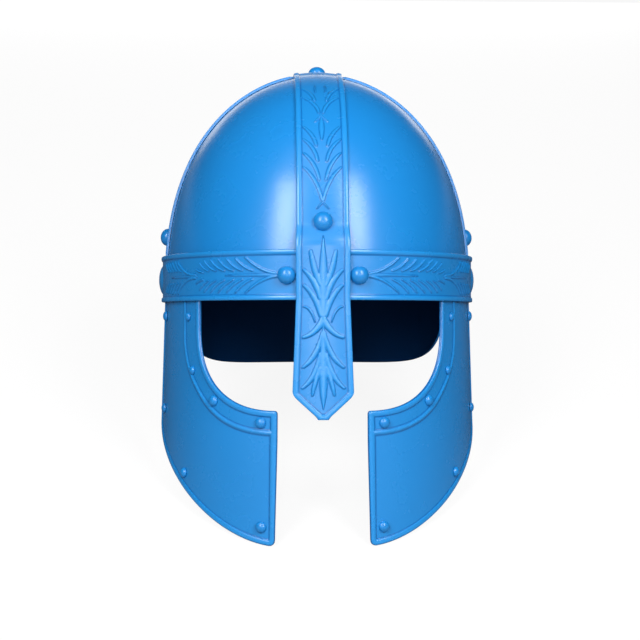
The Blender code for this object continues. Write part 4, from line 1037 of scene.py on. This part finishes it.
# %% Eight rivets a side
LARGE_RIVET_RADIUS = 0.0034
SMALL_RIVET_RADIUS = 0.0027
JAW_RIVET_RADIUS = 0.0032
RIVET_SIDES = 32
CHEEK_RIVETS = [
    # name, along which edge, share of its length, millimetres in from it, radius
    ("eye_top", "eye", 0.153, 12.2, SMALL_RIVET_RADIUS),
    ("eye_side", "eye", 0.412, 12.2, SMALL_RIVET_RADIUS),
    ("eye_corner", "eye", 0.613, 7.6, LARGE_RIVET_RADIUS),
    ("eye_front", "eye", 0.910, 7.6, LARGE_RIVET_RADIUS),
    ("chin_front", "jaw", 0.954, 10.2, LARGE_RIVET_RADIUS),
    ("chin_side", "jaw", 0.637, 8.2, JAW_RIVET_RADIUS),
    ("rear_top", "jaw", 0.074, 11.4, LARGE_RIVET_RADIUS),
    ("rear_foot", "jaw", 0.331, 16.0, JAW_RIVET_RADIUS),
]


def along_edge(edge, towards, share, inset):
    moved = beside(edge, inset, towards)
    run = np.concatenate([[0], np.cumsum(np.linalg.norm(np.diff(edge, axis=0), axis=1))])
    at = share * run[-1]
    return np.array([np.interp(at, run, moved[:, 0]), np.interp(at, run, moved[:, 1])])


for side_name, side in (("left", -1), ("right", 1)):
    for spot_name, edge_name, share, inset, radius in CHEEK_RIVETS:
        pair = (eye_edge, jaw_edge) if edge_name == "eye" else (jaw_edge, eye_edge)
        spot = along_edge(*pair, share, inset * MM) * [side, 1]
        low = skirt(spot, LAYER_GAP)
        node = "cheek_rivet_{}_{}".format(spot_name, side_name)
        place = facing(low, skirt(spot, 2 * radius) - low)
        mesh = turned(node, radius, radius * RIVET_RISE, RIVET_SHANK,
                      SKIRT_THICKNESS + 2 * LAYER_GAP + FACET_SAG, RIVET_SIDES)
        fit("domed_" + node, mesh, node, [blue_plain], place)
        if side > 0:
            print(node, "is", off(node, place), "mm from its solid's middle")

# %% [markdown]
# ## The floor
# The helmet is shown on a plain, pale studio floor. A white floor would throw so much light
# up into the metal, from every side, that the blue would wash out. So the sheet itself is
# dark, with a faint unevenness, and it glows, with a strength that depends on who looks: the
# camera sees it nearly white, while the metal gets a glow that is strong in front of the
# helmet, fades out beneath it and is weak further behind.

# %% Greys along a ramp
def grey_ramp(tree, place, stops):
    """Greys that change evenly between pairs of (place from 0 to 1, tone)."""
    made = wire(tree, "ShaderNodeValToRGB", {"Fac": place})
    ramp = made.color_ramp.elements
    for at, tone in stops:
        stop = ramp.new(at)
        stop.color = (tone, tone, tone, 1)
    ramp.remove(ramp[0])
    ramp.remove(ramp[-1])
    return made.outputs["Color"]


# %% A pale floor
FLOOR_HALF = 6.0
FLOOR_GREYS = (0.07, 0.08)
FLOOR_SEEN = 0.90
GLOW_REACH = 1.5
GLOW_STOPS = ((0.0, 0.32), (0.42, 0.32), (0.50, 0.0), (0.76, 0.0), (0.88, 0.2))

floor_mesh = bpy.data.meshes.new("studio_floor")
floor_mesh.from_pydata([(-FLOOR_HALF, -FLOOR_HALF, 0), (FLOOR_HALF, -FLOOR_HALF, 0),
                        (FLOOR_HALF, FLOOR_HALF, 0), (-FLOOR_HALF, FLOOR_HALF, 0)],
                       [], [(0, 1, 2, 3)])
pale = bpy.data.materials.new("pale studio floor")
pale.use_nodes = True
tree = pale.node_tree
shader = tree.nodes["Principled BSDF"]
shader.inputs["Roughness"].default_value = 0.85
shader.inputs["Emission Color"].default_value = (1.0, 1.0, 1.0, 1)
place = wire(tree, "ShaderNodeTexCoord").outputs["Object"]
mottle = wire(tree, "ShaderNodeTexNoise", {"Vector": place}, Scale=3.0)
grey = wire(tree, "ShaderNodeMix", data_type="RGBA")
for socket, tone in zip("AB", FLOOR_GREYS):
    grey.inputs[socket].default_value = (tone, tone, tone, 1)
tree.links.new(mottle.outputs["Fac"], grey.inputs["Factor"])
tree.links.new(grey.outputs["Result"], shader.inputs["Base Color"])
spot = wire(tree, "ShaderNodeSeparateXYZ", {"Vector": place})
along_floor = wire(tree, "ShaderNodeMapRange", {"Value": spot.outputs["Y"]})
along_floor.inputs["From Min"].default_value = -GLOW_REACH
along_floor.inputs["From Max"].default_value = GLOW_REACH
thrown = grey_ramp(tree, along_floor.outputs["Result"], GLOW_STOPS)
glow = wire(tree, "ShaderNodeMix", data_type="FLOAT")
tree.links.new(wire(tree, "ShaderNodeLightPath").outputs["Is Camera Ray"],
               glow.inputs["Factor"])
tree.links.new(thrown, glow.inputs["A"])
glow.inputs["B"].default_value = FLOOR_SEEN
tree.links.new(glow.outputs["Result"], shader.inputs["Emission Strength"])
floor_mesh.materials.append(pale)
floor = bpy.data.objects.new("studio_floor", floor_mesh)
bpy.context.scene.collection.objects.link(floor)
print("floor:", 2 * FLOOR_HALF, "m across")

# %% [markdown]
# ## Lights
# Two tall soft boxes stand in front, left and right of the camera and above it. Each draws
# one broad upright light on the crown beside the centre band. Three weaker boxes help: one
# behind the camera lights the nasal, one from above models the top, and one behind the
# helmet edges the outline.

# %% Soft boxes round the helmet
def soft_box(name, azimuth_deg, height_deg, distance, size, power):
    """An area light aimed at the helmet, placed by the way it is seen from the helmet."""
    azimuth, height = math.radians(azimuth_deg), math.radians(height_deg)
    aim = Vector((0.0, 0.0, 0.03))
    away = Vector((math.sin(azimuth) * math.cos(height), -math.cos(azimuth) * math.cos(height),
                   math.sin(height)))
    light = bpy.data.lights.new(name, "AREA")
    light.shape = "RECTANGLE"
    light.size, light.size_y = size
    light.energy = power
    lamp = bpy.data.objects.new(name, light)
    bpy.context.scene.collection.objects.link(lamp)
    lamp.matrix_world = HELMET @ facing(aim + away * distance, away)
    print(name, "stands", round(lamp.matrix_world.translation.z, 2), "m above the floor")


soft_box("left_box", -30, 24, 1.5, (0.42, 0.90), 15.0)
soft_box("right_box", 30, 24, 1.5, (0.42, 0.90), 15.0)
soft_box("front_box", 0, 5, 1.5, (0.50, 0.36), 3.1)
soft_box("top_box", 0, 50, 1.5, (1.40, 0.80), 3.2)
soft_box("rear_box", 180, 22, 1.5, (1.40, 0.40), 3.0)

# %% [markdown]
# ## The surround
# Glossy paint shows what stands round it. The room is pale in front and straight behind, and
# dark at the sides and overhead, as black cards beside a shiny thing would make it: that is
# what deepens the blue towards the outline. The camera itself sees an even pale backdrop.
# The Standard view transform keeps that backdrop white, where a filmic one would grey it.

# %% A room that is dark at the sides
BACKDROP_SEEN = 0.93
ROOM_STOPS = ((0.0, 0.45), (0.22, 0.36), (0.45, 0.02), (0.965, 0.02), (0.997, 0.6))

world = bpy.data.worlds.new("pale surround")
bpy.context.scene.world = world
world.use_nodes = True
tree = world.node_tree
ways = wire(tree, "ShaderNodeSeparateXYZ",
            {"Vector": wire(tree, "ShaderNodeTexCoord").outputs["Generated"]})
toward = wire(tree, "ShaderNodeMapRange", {"Value": ways.outputs["Y"]})
toward.inputs["From Min"].default_value = -1.0
walls = grey_ramp(tree, toward.outputs["Result"], ROOM_STOPS)
backdrop = wire(tree, "ShaderNodeMix", data_type="RGBA")
tree.links.new(wire(tree, "ShaderNodeLightPath").outputs["Is Camera Ray"],
               backdrop.inputs["Factor"])
tree.links.new(walls, backdrop.inputs["A"])
backdrop.inputs["B"].default_value = (BACKDROP_SEEN, BACKDROP_SEEN, BACKDROP_SEEN, 1)
tree.links.new(backdrop.outputs["Result"], tree.nodes["Background"].inputs["Color"])
bpy.context.scene.view_settings.view_transform = "Standard"
print("surround:", world.name)

# %% [markdown]
# ## The camera
# The helmet is seen square on, level with its brow, through a long lens from under a metre.
# The camera is placed in the helmet's own axes, a touch to one side, and then leans with the
# helmet, so it looks down from above the floor.

# %% Place the camera
CAMERA_DISTANCE = 0.900
CAMERA_SIDE = 0.0022
CAMERA_HEIGHT = -0.0119
CAMERA_TURN = math.radians(1.98)
CAMERA_LENS_MM = 74.1

ahead = Vector((math.sin(CAMERA_TURN), math.cos(CAMERA_TURN), 0))
right = Vector((math.cos(CAMERA_TURN), -math.sin(CAMERA_TURN), 0))
eye = right * CAMERA_SIDE - ahead * CAMERA_DISTANCE + Vector((0, 0, CAMERA_HEIGHT))
seen = Matrix((right, Vector((0, 0, 1)), -ahead)).transposed().to_4x4()
camera_data = bpy.data.cameras.new("camera")
camera_data.lens = CAMERA_LENS_MM
camera_data.clip_start = 0.01
camera = bpy.data.objects.new("camera", camera_data)
bpy.context.scene.collection.objects.link(camera)
camera.matrix_world = HELMET @ Matrix.Translation(eye) @ seen
bpy.context.scene.camera = camera
print("camera at", [round(v, 3) for v in camera.matrix_world.translation])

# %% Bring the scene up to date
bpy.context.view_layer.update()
